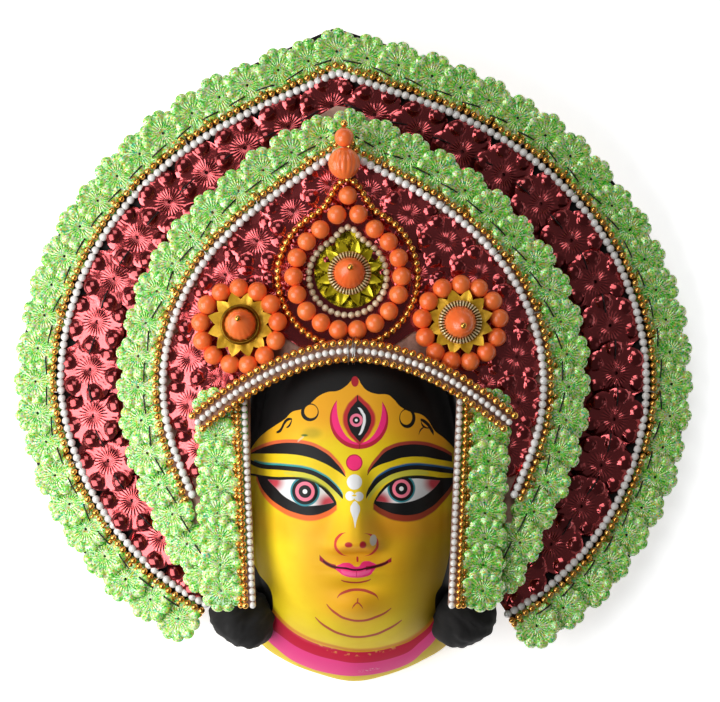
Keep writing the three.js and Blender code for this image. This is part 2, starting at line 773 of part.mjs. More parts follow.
function addFinial() {
  const base = innerTier.front(finialX) + foilThickness + pearlDiameter + 3 * clearance;
  const beads = [
    ["finial_fluted_bead", flutedDiameter, 10, 7, "orangePlastic"],
    ["finial_small_bead", orangeDiameter, 8, 6, "orangePlastic"],
    ["finial_gold_bead", goldDiameter, 6, 4, "gold"],
  ];
  let y = crownCentreY + innerRadius + finialRise;
  let previous = 0;
  for (const [name, diameter, around, high, colour] of beads) {
    if (previous) y += (previous + diameter) / 2 + clearance;
    const bead = new THREE.SphereGeometry(diameter / 2, around, high);
    bead.rotateY(Math.PI / 2);
    bead.translate(finialX, y, base + flutedDiameter / 2);
    addPiece(name, bead, colour);
    previous = diameter;
  }
}

// Wires: posts between the tiers and a rim wire behind the edge of the outer board.
function addWires() {
  postAngles.forEach((angle, i) => {
    const [x, y] = onTier(innerTier, angle, postOffset, 0);
    const half = postDiameter / 2;
    const low = outerTier.front(Math.abs(x) - half) + trimGap;
    const high = innerTier.front(Math.abs(x) + half) - boardThickness - trimGap;
    const post = new THREE.CylinderGeometry(half, half, high - low, 6);
    post.rotateX(Math.PI / 2);
    post.translate(x, y, (low + high) / 2);
    addPiece("tier_post_" + (i + 1), post, "wire");
  });
  const edge = 2 * flowerRadius - 0.5 - rimWireInset;
  const rim = bandOnTier(outerTier, anglesTo(outerEnd, outerSteps), () =>
    strandSection(edge, -boardThickness - clearance - rimWireDiameter, rimWireDiameter, rimWireDiameter),
  );
  addPiece("outer_rim_wire", rim, "wire");
}

addPiece("face_shell", shellGeometry(shellWall, 0, true), "facePaint");
const boardToCut = solidOf(addBoards());
const outerFoilWidth = (angle) =>
  outerTier.radiusAt(angle) - innerTier.radiusAt(clamp(angle, -innerEnd, 180 + innerEnd)) - foilTuck;
addTierTrim("outer", outerTier, outerFoilWidth, outerEnd, outerEnd, outerSteps);
// Beside the side panels the inner foil is cut back to their edge.
const innerFoilWidthAt = (angle) => {
  const room = innerTier.radiusAt(angle) - (panelTopX + panelWidth + 1) / Math.abs(Math.cos(degToRad(angle)));
  return belowHorizontal(angle) > 0 ? Math.min(innerFoilWidth, room) : innerFoilWidth;
};
addTierTrim("inner", innerTier, innerFoilWidthAt, innerStrandEnd, innerEnd, innerSteps);
addBrowBand();
addSidePanels();
addHairBunches(solidOf(shellGeometry(0, 2 * clearance, false)), boardToCut);
addRosettes();
addFinial();
addWires();

export default mask;
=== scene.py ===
# A painted papier-mache dance mask with a two-tier crown, lying face up on a pale floor.
# Lengths are in millimetres until finishPiece() turns a mesh into metres.
import math
import random

import bmesh
import bpy
from mathutils import Matrix, Vector, noise


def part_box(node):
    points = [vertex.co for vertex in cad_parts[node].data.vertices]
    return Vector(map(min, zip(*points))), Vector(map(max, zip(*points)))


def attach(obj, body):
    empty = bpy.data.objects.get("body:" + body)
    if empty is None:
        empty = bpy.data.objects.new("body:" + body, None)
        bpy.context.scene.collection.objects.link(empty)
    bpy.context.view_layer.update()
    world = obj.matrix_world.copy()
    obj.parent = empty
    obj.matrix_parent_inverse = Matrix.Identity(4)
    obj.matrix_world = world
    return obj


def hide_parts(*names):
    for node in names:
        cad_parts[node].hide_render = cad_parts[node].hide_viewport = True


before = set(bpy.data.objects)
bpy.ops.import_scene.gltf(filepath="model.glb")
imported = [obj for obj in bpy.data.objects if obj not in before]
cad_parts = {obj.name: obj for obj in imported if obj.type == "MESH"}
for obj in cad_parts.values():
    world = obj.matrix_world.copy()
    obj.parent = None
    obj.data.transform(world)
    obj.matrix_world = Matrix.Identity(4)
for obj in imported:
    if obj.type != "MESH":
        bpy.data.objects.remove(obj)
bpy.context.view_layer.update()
scene = bpy.context.scene
mm = 0.001
draw = random.Random(11)
print("frame loaded")


# Small helpers for numbers

def clamp(value, low=0.0, high=1.0):
    return max(low, min(high, value))


def blend(low, high, share):
    return low + (high - low) * share


def smooth(value, low, high):
    share = clamp((value - low) / (high - low))
    return share * share * (3 - 2 * share)


# Camera: straight above the mask, as far away as the photograph's lens makes it

view = {
    "imageCentre": (360, 351),
    "originPixel": (353.5, 356.5),  # where the frame's origin falls in the photograph
    "mmPerPixel": 0.635,  # at the height below
    "height": 15,
    "distance": 1900,
    "sensor": 36,
    "imageWidth": 720,
}
viewX = (view["imageCentre"][0] - view["originPixel"][0]) * view["mmPerPixel"]
viewY = (view["originPixel"][1] - view["imageCentre"][1]) * view["mmPerPixel"]


def atPixel(column, row, z):
    scale = view["mmPerPixel"] * (view["distance"] - z) / (view["distance"] - view["height"])
    x = viewX + (column - view["imageCentre"][0]) * scale
    y = viewY + (view["imageCentre"][1] - row) * scale
    return x, y


def addCamera():
    lens = bpy.data.cameras.new("camera")
    lens.sensor_width = view["sensor"]
    width = view["imageWidth"] * view["mmPerPixel"]
    lens.lens = view["sensor"] * (view["distance"] - view["height"]) / width
    camera = bpy.data.objects.new("camera", lens)
    camera.location = (viewX * mm, viewY * mm, view["distance"] * mm)
    scene.collection.objects.link(camera)
    scene.camera = camera


# Finishes

def srgb(red, green, blue):
    def linear(value):
        value /= 255
        return value / 12.92 if value <= 0.04045 else ((value + 0.055) / 1.055) ** 2.4
    return (linear(red), linear(green), linear(blue), 1.0)


def addNode(tree, kind, inputs=None, **settings):
    made = tree.nodes.new("ShaderNode" + kind)
    for key, value in settings.items():
        setattr(made, key, value)
    for key, value in (inputs or {}).items():
        if isinstance(value, bpy.types.NodeSocket):
            tree.links.new(value, made.inputs[key])
        else:
            made.inputs[key].default_value = value
    return made


def calc(tree, operation, *values):
    return addNode(tree, "Math", dict(enumerate(values)), operation=operation).outputs[0]


def startMaterial(name, colour, roughness, metallic=0.0, **sockets):
    made = bpy.data.materials.new(name)
    made.use_nodes = True
    made.diffuse_color = colour
    shader = made.node_tree.nodes["Principled BSDF"]
    shader.inputs["Base Color"].default_value = colour
    shader.inputs["Roughness"].default_value = roughness
    shader.inputs["Metallic"].default_value = metallic
    for key, value in sockets.items():
        shader.inputs[key.replace("_", " ")].default_value = value
    return made, made.node_tree, shader


def objectCoordinates(tree):
    return addNode(tree, "TexCoord").outputs["Object"]


def noiseOf(tree, scale, detail=3.0, roughness=0.55):
    inputs = {"Vector": objectCoordinates(tree), "Scale": scale, "Detail": detail, "Roughness": roughness}
    return addNode(tree, "TexNoise", inputs).outputs[0]


def rampOf(tree, factor, stops, mode="LINEAR"):
    ramp = addNode(tree, "ValToRGB", {"Fac": factor})
    ramp.color_ramp.interpolation = mode
    elements = ramp.color_ramp.elements
    while len(elements) < len(stops):
        elements.new(0.5)
    for element, (place, colour) in zip(elements, stops):
        element.position = place
        element.color = colour
    return ramp.outputs[0]


def addBump(tree, shader, height, strength, distance):
    inputs = {"Height": height, "Strength": strength, "Distance": distance * mm}
    bump = addNode(tree, "Bump", inputs)
    tree.links.new(bump.outputs[0], shader.inputs["Normal"])


def roughen(tree, shader, value, low, high):
    inputs = {"Value": value, "To Min": low, "To Max": high}
    tree.links.new(addNode(tree, "MapRange", inputs).outputs[0], shader.inputs["Roughness"])


def mottled(name, dark, light, roughness, metallic=0.0, scale=150, bump=0.2, depth=0.3, **sockets):
    made, tree, shader = startMaterial(name, light, roughness, metallic, **sockets)
    cloud = noiseOf(tree, scale)
    tree.links.new(rampOf(tree, cloud, [(0.3, dark), (0.7, light)]), shader.inputs["Base Color"])
    roughen(tree, shader, cloud, roughness * 1.25, roughness * 0.8)
    addBump(tree, shader, noiseOf(tree, scale * 6), bump, depth)
    return made


# Colour of stamped foil from its relief: painted shade in its hollows and painted highlight on its ridges
def reliefLightAndShade(tree, dark, light):
    ridge = addNode(tree, "Attribute", attribute_name="ridge").outputs["Fac"]
    return addNode(tree, "Mix", {0: ridge, 6: dark, 7: light}, data_type="RGBA").outputs[2]


def stampedRedFoil():
    dark, light = srgb(112, 1, 4), srgb(254, 106, 110)
    coat = {"Coat_Weight": 0.45, "Coat_Roughness": 0.08, "Coat_IOR": 1.8}
    made, tree, shader = startMaterial("redFoil", light, 0.16, 0.92, **coat)
    # Painted shade and highlight of the stamped relief
    tree.links.new(reliefLightAndShade(tree, dark, light), shader.inputs["Base Color"])
    roughen(tree, shader, noiseOf(tree, 120), 0.12, 0.24)
    addBump(tree, shader, noiseOf(tree, 500), 0.25, 0.5)
    return made


# Stamped foil whose coating is a fine mosaic of glints, each tilted a little its own way
def glitterFoil(name, colours, cell, metallic, roughness, tilt, **sockets):
    made, tree, shader = startMaterial(name, colours[0][1], roughness, metallic, **sockets)
    inputs = {"Vector": objectCoordinates(tree), "Scale": 1 / (cell * mm)}
    flakes = addNode(tree, "TexVoronoi", inputs)
    parts = addNode(tree, "SeparateColor", {"Color": flakes.outputs["Color"]})
    patch = calc(tree, "MULTIPLY_ADD", noiseOf(tree, 160, 2.0), 0.8, -0.4)
    spread = calc(tree, "ADD", parts.outputs[0], patch)
    glints = rampOf(tree, spread, colours, "CONSTANT")
    # Painted shade in the relief's hollows and painted highlight on its ridges, laid over the glints
    tone = reliefLightAndShade(tree, srgb(112, 176, 72), srgb(255, 255, 240))
    inputs = {0: 1.0, 6: glints, 7: tone}
    shown = addNode(tree, "Mix", inputs, data_type="RGBA", blend_type="MULTIPLY").outputs[2]
    tree.links.new(shown, shader.inputs["Base Color"])
    roughen(tree, shader, parts.outputs[1], roughness * 0.7, roughness * 1.4)
    lean = addNode(tree, "VectorMath", {0: flakes.outputs["Color"], 1: (0.5, 0.5, 0.5)}, operation="SUBTRACT")
    lean = addNode(tree, "VectorMath", {0: lean.outputs[0], "Scale": tilt}, operation="SCALE")
    normal = addNode(tree, "NewGeometry").outputs["Normal"]
    leaning = addNode(tree, "VectorMath", {0: normal, 1: lean.outputs[0]}, operation="ADD")
    turned = addNode(tree, "VectorMath", {0: leaning.outputs[0]}, operation="NORMALIZE")
    tree.links.new(turned.outputs[0], shader.inputs["Normal"])
    tree.links.new(turned.outputs[0], shader.inputs["Coat Normal"])
    return made


def clothMaterial(name, dark, light, threads, sheen):
    made, tree, shader = startMaterial(name, light, 0.85, 0.0, Sheen_Weight=sheen)
    where = objectCoordinates(tree)
    weave = None
    for direction in ("X", "Y"):
        inputs = {"Vector": where, "Scale": threads, "Distortion": 1.2, "Detail": 1.0}
        thread = addNode(tree, "TexWave", inputs, bands_direction=direction).outputs["Fac"]
        weave = thread if weave is None else calc(tree, "MAXIMUM", weave, thread)
    fuzz = noiseOf(tree, 400)
    mix = calc(tree, "MULTIPLY", weave, fuzz)
    tree.links.new(rampOf(tree, mix, [(0.1, dark), (0.6, light)]), shader.inputs["Base Color"])
    addBump(tree, shader, weave, 0.35, 0.2)
    return made


finishes = {
    "pearl": mottled("pearlCoating", srgb(232, 229, 224), srgb(252, 250, 247), 0.24, 0.0, 90, 0.04, 0.1,
                     Coat_Weight=0.6, Coat_Roughness=0.08),
    "gold": mottled("goldCoating", srgb(220, 146, 52), srgb(255, 204, 112), 0.2, 0.92, 200, 0.03, 0.1),
    "paleGold": mottled("paleGold", srgb(234, 208, 140), srgb(255, 246, 212), 0.28, 0.5, 200, 0.03, 0.1),
    "cream": mottled("creamCoating", srgb(196, 172, 132), srgb(238, 224, 192), 0.26, 0.1, 120, 0.04, 0.1,
                     Coat_Weight=0.5, Coat_Roughness=0.1),
    # Dark brass of the plain bezel, also laid in the milled bezels' grooves as painted shade
    "darkBrassAndGrooveShade": mottled("darkBrassGrooveShade", srgb(96, 68, 18), srgb(150, 112, 34), 0.35, 1.0, 300, 0.1, 0.2),
    "orange": mottled("orangePlastic", srgb(255, 110, 46), srgb(255, 132, 64), 0.3, 0.0, 60, 0.03, 0.1,
                      Subsurface_Weight=0.08, Subsurface_Scale=0.002, Coat_Weight=0.25, Coat_Roughness=0.15),
    "wire": mottled("bindingWire", srgb(22, 21, 22), srgb(52, 49, 48), 0.45, 0.6, 500, 0.1, 0.1),
    "silverWire": mottled("tinnedWire", srgb(150, 150, 150), srgb(205, 205, 205), 0.3, 1.0, 400, 0.05, 0.1),
    "blackCard": mottled("blackCard", srgb(12, 11, 11), srgb(27, 24, 24), 0.8, 0.0, 260, 0.3, 0.3),
    "kraft": mottled("brownCard", srgb(120, 88, 58), srgb(158, 122, 84), 0.85, 0.0, 60, 0.3, 0.4),
    "yellowFoil": mottled("yellowFoil", srgb(190, 170, 12), srgb(230, 212, 40), 0.22, 0.6, 260, 0.3, 0.4),
    "crumpledFoil": mottled("crumpledFoil", srgb(74, 62, 4), srgb(196, 176, 34), 0.12, 0.95, 320, 0.4, 0.6),
    "matteYellowFoil": mottled("dullYellowFoil", srgb(214, 158, 30), srgb(244, 192, 50), 0.38, 0.45, 200,
                               0.35, 0.5),
    "redFoil": stampedRedFoil(),
    "felt": clothMaterial("pinkishLining", srgb(150, 108, 94), srgb(206, 164, 146), 900, 0.2),
    "hairCloth": clothMaterial("blackCloth", srgb(6, 5, 5), srgb(22, 19, 19), 700, 0.03),
    "greenFoil": glitterFoil(
        "greenGlitterFoil",
        [
            (0.0, srgb(50, 190, 44)),
            (0.18, srgb(128, 244, 80)),
            (0.38, srgb(204, 255, 104)),
            (0.58, srgb(248, 255, 174)),
            (0.72, srgb(255, 255, 240)),
            (0.88, srgb(255, 230, 70)),
            (0.94, srgb(255, 178, 80)),
            (0.975, srgb(100, 240, 200)),
        ],
        0.95, 0.08, 0.3, 0.6, Coat_Weight=1.0, Coat_Roughness=0.14, Coat_IOR=1.9,
    ),
}
print("finishes made")


# Making pieces

def finishPiece(name, bm, materials, replaced=(), sharpAbove=50, closed=True):
    if closed:
        bmesh.ops.recalc_face_normals(bm, faces=bm.faces)
    bmesh.ops.scale(bm, vec=(mm, mm, mm), verts=bm.verts)
    mesh = bpy.data.meshes.new(name)
    bm.to_mesh(mesh)
    bm.free()
    mesh.shade_smooth()
    mesh.set_sharp_from_angle(angle=math.radians(sharpAbove))
    for material in materials:
        mesh.materials.append(finishes[material])
    piece = bpy.data.objects.new(name, mesh)
    scene.collection.objects.link(piece)
    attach(piece, "root")
    if replaced:
        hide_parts(*replaced)


# A sheet of so many steps, its corners' (0..1, 0..1) places turned into points by place(u, v)
def mappedGrid(bm, along, across, place, thickness=0.0, closeAround=False):
    made = bmesh.ops.create_grid(bm, x_segments=along, y_segments=across, size=0.5)["verts"]
    for vert in made:
        vert.co = place(vert.co.x + 0.5, vert.co.y + 0.5)
    if closeAround:
        bmesh.ops.remove_doubles(bm, verts=made, dist=1e-4)
    if thickness:
        made = [vert for vert in made if vert.is_valid]
        faces = list({face for vert in made for face in vert.link_faces})
        bmesh.ops.recalc_face_normals(bm, faces=faces)
        bmesh.ops.solidify(bm, geom=faces, thickness=thickness)


def samplePath(path, count):
    return [path(i / (count - 1)) for i in range(count)]


# Points evenly spaced along a dense run of points
def spaced(points, pitch, closed=False):
    run = points + [points[0]] if closed else points
    lengths = [(b - a).length for a, b in zip(run, run[1:])]
    total = sum(lengths)
    count = max(2, round(total / pitch))
    step = total / count if closed else total / (count - 1)
    found, walked, index = [], 0.0, 0
    for k in range(count):
        target = min(k * step, total - 1e-6)
        while walked + lengths[index] < target:
            walked += lengths[index]
            index += 1
        found.append(run[index].lerp(run[index + 1], (target - walked) / lengths[index]))
    return found


def ballTemplate(around, high):
    ball = bmesh.new()
    bmesh.ops.create_uvsphere(ball, u_segments=around, v_segments=high, radius=1)
    template = bpy.data.meshes.new("ball")
    ball.to_mesh(template)
    ball.free()
    return template


def stampShape(bm, template, place):
    template.transform(place)
    bm.from_mesh(template)
    template.transform(place.inverted())


def addBeads(bm, points, diameter, around=10, high=7, jitter=0.0):
    ball = ballTemplate(around, high)
    for point in points:
        shift = Vector((draw.uniform(-jitter, jitter), draw.uniform(-jitter, jitter), 0))
        size = diameter / 2 * draw.uniform(0.98, 1.02)
        turn = Matrix.Rotation(draw.uniform(0, 3), 4, "X")
        stampShape(bm, ball, Matrix.Translation(point + shift) @ turn @ Matrix.Scale(size, 4))


def makeBeads(name, node, slot, finish, points, diameter, around=10, high=7, jitter=0.0):
    bm = bmesh.new()
    addBeads(bm, points, diameter, around, high, jitter)
    finishPiece(name, bm, [finish], [node], 80)


def addTube(bm, points, radius, sides):
    runs = []
    for i, point in enumerate(points):
        ahead = points[min(i + 1, len(points) - 1)] - points[max(i - 1, 0)]
        ahead.normalize()
        side = ahead.cross(Vector((0, 0, 1)) if abs(ahead.z) < 0.9 else Vector((1, 0, 0))).normalized()
        runs.append((point, side, side.cross(ahead)))

    def place(u, v):
        point, side, up = runs[round(u * (len(points) - 1))]
        angle = 2 * math.pi * v
        return point + radius * (math.cos(angle) * side + math.sin(angle) * up)

    before = len(bm.edges)
    mappedGrid(bm, len(points) - 1, sides, place, 0, True)
    bm.edges.ensure_lookup_table()
    rims = [edge for edge in bm.edges[before:] if edge.is_boundary]
    bmesh.ops.holes_fill(bm, edges=rims, sides=0)


# Crown: the two bent boards, as polar curves about one centre

crownCentreY = -18
boardThickness = 3
outerTier = {
    "radius": 185.5, "peak": 19, "peakWidth": 13, "peakAngle": 93, "shoulder": 8, "end": 56,
    "left": (-19.5, 1.1), "right": (-12, 1.5), "changeFrom": 0,  # change in radius and its power
    "front": 34, "bend": 900,
}
innerTier = {
    "radius": 118, "peak": 28, "peakWidth": 18, "peakAngle": 93, "shoulder": 0, "end": 55,
    "left": (16, 2), "right": (16, 2), "changeFrom": 20,
    "front": 64.5, "bend": 500,
}


def frontOf(tier, x):
    return tier["front"] - x * x / (2 * tier["bend"])


def radiusAt(tier, angle):
    peak = tier["peak"] * math.exp(-abs(angle - tier["peakAngle"]) / tier["peakWidth"])
    below = max(0.0, angle - 180) if angle > 90 else max(0.0, -angle)
    share = max(0.0, below - tier["changeFrom"]) / (tier["end"] - tier["changeFrom"])
    change, power = tier["left"] if angle > 90 else tier["right"]
    shoulder = tier["shoulder"] * max(0.0, math.sin(math.radians(angle))) ** 2
    return tier["radius"] + peak - shoulder + change * share ** power


def tierPoint(tier, angle, offset, height):
    radius = radiusAt(tier, angle) + offset
    x = radius * math.cos(math.radians(angle))
    y = crownCentreY + radius * math.sin(math.radians(angle))
    return Vector((x, y, frontOf(tier, x) + height))


# Place of a thing on a tier: its x points outwards, its y along the tier and its z out of the board
def tierPlace(tier, angle, offset, height):
    point = tierPoint(tier, angle, offset, height)
    outwards = (tierPoint(tier, angle, offset + 1, height) - point).normalized()
    along = tierPoint(tier, angle + 0.4, offset, height) - tierPoint(tier, angle - 0.4, offset, height)
    normal = outwards.cross(along).normalized()
    along = normal.cross(outwards)
    place = Matrix((outwards, along, normal)).transposed().to_4x4()
    place.translation = point
    return place


def tierAngle(end, share):
    return 180 + end - (180 + 2 * end) * share


def anglesByPitch(tier, end, offset, pitch):
    steps = 720
    angles = [tierAngle(end, i / steps) for i in range(steps + 1)]
    points = [tierPoint(tier, angle, offset, 0) for angle in angles]
    lengths = [0.0]
    for a, b in zip(points, points[1:]):
        lengths.append(lengths[-1] + (b - a).length)
    count = round(lengths[-1] / pitch)
    found, index = [], 0
    for k in range(count):
        target = lengths[-1] * (k + 0.5) / count
        while lengths[index + 1] < target:
            index += 1
        found.append(angles[index])
    return found


# Face shell: its rim is read from the frame, and its form is the solid's own

shell = {
    "centreY": -82, "wall": 5, "hoodDepth": 52, "faceDepth": 88, "faceHalfWidth": 68,
    "foreheadHeight": 115, "jawHeight": 108, "jawSquareness": 3.4, "faceCentreX": 1.2,
    "noseLength": 36, "noseRise": 21, "noseHalfWidth": 14.5, "noseTipY": -112,
    "mouthY": -130.5, "mouthHalfWidth": 17, "chinY": -153,
    "eyeX": 31, "eyeY": -82,
}


def readRim():
    found = []
    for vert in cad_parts["face_shell"].data.vertices:
        x, y, z = (value / mm for value in vert.co)
        if abs(z) < 0.05:
            dy = y - shell["centreY"]
            found.append((math.atan2(dy, x) % (2 * math.pi), math.hypot(x, dy)))
    found.sort()
    steps = 34
    reach = [0.0] * steps
    for angle, radius in found:
        index = round((angle - math.pi / 2) / (2 * math.pi) * steps) % steps
        reach[index] = max(reach[index], radius)
    return reach


rimReach = readRim()


def rimDistance(angle):
    steps = len(rimReach)
    place = ((angle - math.pi / 2) / (2 * math.pi)) % 1 * steps
    low = int(place)
    t = place - low
    a, b, c, d = (rimReach[(low + k) % steps] for k in (-1, 0, 1, 2))
    return b + 0.5 * t * (c - a + t * (2 * a - 5 * b + 4 * c - d + t * (3 * (b - c) + d - a)))


def swell(dx, dy, halfX, halfY):
    return math.exp(-1.2 * ((dx / halfX) ** 2 + (dy / halfY) ** 2))


def noseHeight(x, y):
    along = (shell["noseTipY"] + shell["noseLength"] - y) / shell["noseLength"]
    if along < -0.4:
        return 0.0
    half = shell["noseHalfWidth"] * (0.55 + 0.45 * clamp(along) ** 2)
    if along < 1:
        ridge = 0.2 + 0.8 * clamp(along) ** 1.4
    else:
        ridge = 1 - smooth(shell["noseTipY"] - y, 2, 9)
    return shell["noseRise"] * ridge * smooth(along, -0.4, 0) * math.exp(-1.3 * abs(x / half) ** 2.6)


# Relief that the solid leaves out: eyeballs and lids, wings of the nose, nostrils and the parted lips
def fineRelief(u, y):
    side = abs(u)
    tip = shell["noseTipY"]
    mouth = shell["mouthY"]
    return (
        1.6 * swell(side - shell["eyeX"], y - shell["eyeY"], 17, 8)
        + 1.6 * swell(side - 9, y - tip + 3, 4.5, 4.5)
        - 1.3 * swell(side - 4.5, y - tip + 5.5, 2.4, 1.8)
        + 0.9 * swell(side - 5, y - mouth - 2.4, 7, 1.6)
        - 0.7 * swell(u, y - mouth, 12, 0.8)
        + 0.8 * swell(u, y - mouth + 3.4, 9, 1.8)
    )


def shellHeight(x, y, fine=False):
    dy = y - shell["centreY"]
    out = math.hypot(x, dy) / rimDistance(math.atan2(dy, x))
    if out >= 1:
        return 0.0
    hood = shell["hoodDepth"] * (1 - out ** 4) ** (1 / 2.2)
    u = x - shell["faceCentreX"]
    tall, power = (shell["foreheadHeight"], 2.4) if dy > 0 else (shell["jawHeight"], shell["jawSquareness"])
    inside = 1 - abs(u / shell["faceHalfWidth"]) ** 2.4 - abs(dy / tall) ** power
    if inside <= 0:
        return hood
    tip, mouth, halfMouth = shell["noseTipY"], shell["mouthY"], shell["mouthHalfWidth"]
    relief = (
        noseHeight(u, y)
        + 4.5 * swell(u, y - mouth, halfMouth, 7)
        - 1.6 * swell(u, y - mouth, 1.2 * halfMouth, 1.6)
        - 2.5 * swell(u, y - mouth + 11, 14, 4)
        + 5.5 * swell(u, y - shell["chinY"], 16, 11)
        + 2.5 * (swell(u - 33, y - tip, 20, 20) + swell(u + 33, y - tip, 20, 20))
        - 3 * (swell(u - 17, y + 86, 9, 9) + swell(u + 17, y + 86, 9, 9))
    )
    if fine:
        relief += fineRelief(u, y)
    face = shell["faceDepth"] * inside ** (1 / 2.2) + relief * smooth(inside, 0, 0.3)
    return max(hood, face)


# The point of the face that a pixel of the photograph shows
def facePoint(column, row):
    z = 80
    for _ in range(5):
        x, y = atPixel(column, row, z)
        z = shellHeight(x, y)
    return x, y


# Painting: masks drawn on the face by curves in the plane of the table

pixelOnFace = 0.606  # mm that a pixel of the photograph covers at the height of the face
paint = {
    "feather": 0.28,  # width of a painted edge
    "hair": srgb(13, 12, 12),
    "yellow": srgb(243, 210, 18),
    "orange": srgb(240, 150, 30),
    "redLine": srgb(178, 26, 54),
    "white": srgb(236, 236, 236),
    "black": srgb(15, 14, 15),
    "pink": srgb(250, 44, 124),
    "pinkLight": srgb(250, 120, 172),
    "teal": srgb(52, 140, 150),
    "redStripe": srgb(214, 30, 66),
    "pinkStripe": srgb(250, 70, 146),
}


class FacePainter:
    def __init__(self, tree, colour):
        self.tree = tree
        self.colour = colour
        spot = addNode(tree, "SeparateXYZ", {0: objectCoordinates(tree)})
        self.x = calc(tree, "DIVIDE", spot.outputs[0], mm)
        self.y = calc(tree, "DIVIDE", spot.outputs[1], mm)
        self.flat = addNode(tree, "CombineXYZ", {0: self.x, 1: self.y}).outputs[0]

    def lay(self, mask, colour, strength=1.0):
        if strength != 1.0:
            mask = calc(self.tree, "MULTIPLY", mask, strength)
        mix = addNode(self.tree, "Mix", {0: mask, 6: self.colour, 7: colour}, data_type="RGBA")
        self.colour = mix.outputs[2]

    def edge(self, distance, feather):
        inputs = {0: distance, 1: -feather / 2, 2: feather / 2}
        return addNode(self.tree, "MapRange", inputs, interpolation_type="SMOOTHSTEP").outputs[0]

    # Height of a curve through points, as a socket, for positions along it
    def curve(self, along, points):
        xs = [p[0] for p in points]
        ys = [p[1] for p in points]
        lowX, highX, lowY = min(xs), max(xs), min(ys)
        tallY = max(max(ys) - lowY, 0.01)
        share = addNode(self.tree, "MapRange", {0: along, 1: lowX, 2: highX}).outputs[0]
        made = addNode(self.tree, "FloatCurve", {"Value": share})
        line = made.mapping.curves[0]
        while len(line.points) < len(points):
            line.points.new(0.5, 0.5)
        for dot, (x, y) in zip(line.points, sorted(points)):
            dot.location = ((x - lowX) / (highX - lowX), (y - lowY) / tallY)
            dot.handle_type = "AUTO"
        made.mapping.update()
        return calc(self.tree, "MULTIPLY_ADD", made.outputs[0], tallY, lowY)

    # Area between two curves. upright areas are drawn by points from top to bottom, left side first.
    def area(self, high, low, feather=None, upright=False, grow=0.0):
        feather = feather or paint["feather"]
        along, across = (self.y, self.x) if upright else (self.x, self.y)
        points = [[facePoint(*p) for p in run] for run in (high, low)]
        if upright:
            points = [[(y, x) for x, y in run] for run in points]
        top = self.curve(along, points[0])
        bottom = self.curve(along, points[1])
        if upright:
            top, bottom = bottom, top
        under = self.edge(calc(self.tree, "ADD", calc(self.tree, "SUBTRACT", top, across), grow), feather)
        over = self.edge(calc(self.tree, "ADD", calc(self.tree, "SUBTRACT", across, bottom), grow), feather)
        first = max(min(p[0] for p in run) for run in points) - grow
        last = min(max(p[0] for p in run) for run in points) + grow
        past = self.edge(calc(self.tree, "SUBTRACT", along, first), feather)
        before = self.edge(calc(self.tree, "SUBTRACT", last, along), feather)
        mask = calc(self.tree, "MULTIPLY", under, over)
        ends = calc(self.tree, "MULTIPLY", past, before)
        return calc(self.tree, "MULTIPLY", mask, ends)

    # Brush stroke along a curve: its width is full in the middle and tapers to the ends
    def stroke(self, points, width, upright=False, taper=0.25, feather=None):
        run = [facePoint(*p) for p in points]
        if upright:
            run = [(y, x) for x, y in run]
        along, across = (self.y, self.x) if upright else (self.x, self.y)
        middle = self.curve(along, run)
        places = sorted(run)
        halves = []
        for i in range(len(places)):
            a = places[max(i - 1, 0)]
            b = places[min(i + 1, len(places) - 1)]
            slope = (b[1] - a[1]) / (b[0] - a[0])
            share = taper if i in (0, len(places) - 1) else 1.0
            halves.append((places[i][0], width / 2 * share * math.hypot(1, slope)))
        half = self.curve(along, halves)
        away = calc(self.tree, "ABSOLUTE", calc(self.tree, "SUBTRACT", across, middle))
        mask = self.edge(calc(self.tree, "SUBTRACT", half, away), feather or paint["feather"])
        past = self.edge(calc(self.tree, "SUBTRACT", along, places[0][0]), paint["feather"])
        before = self.edge(calc(self.tree, "SUBTRACT", places[-1][0], along), paint["feather"])
        return calc(self.tree, "MULTIPLY", mask, calc(self.tree, "MULTIPLY", past, before))

    def distanceTo(self, centre, stretch=(1, 1)):
        x, y = facePoint(*centre)
        off = addNode(self.tree, "VectorMath", {0: self.flat, 1: (x, y, 0)}, operation="SUBTRACT").outputs[0]
        inputs = {0: off, 1: (1 / stretch[0], 1 / stretch[1], 1)}
        off = addNode(self.tree, "VectorMath", inputs, operation="MULTIPLY").outputs[0]
        return addNode(self.tree, "VectorMath", {0: off}, operation="LENGTH").outputs["Value"]

    def spot(self, centre, radius, stretch=(1, 1), feather=None):
        room = calc(self.tree, "SUBTRACT", radius, self.distanceTo(centre, stretch))
        return self.edge(room, feather or paint["feather"])

    def both(self, first, second):
        return calc(self.tree, "MULTIPLY", first, second)


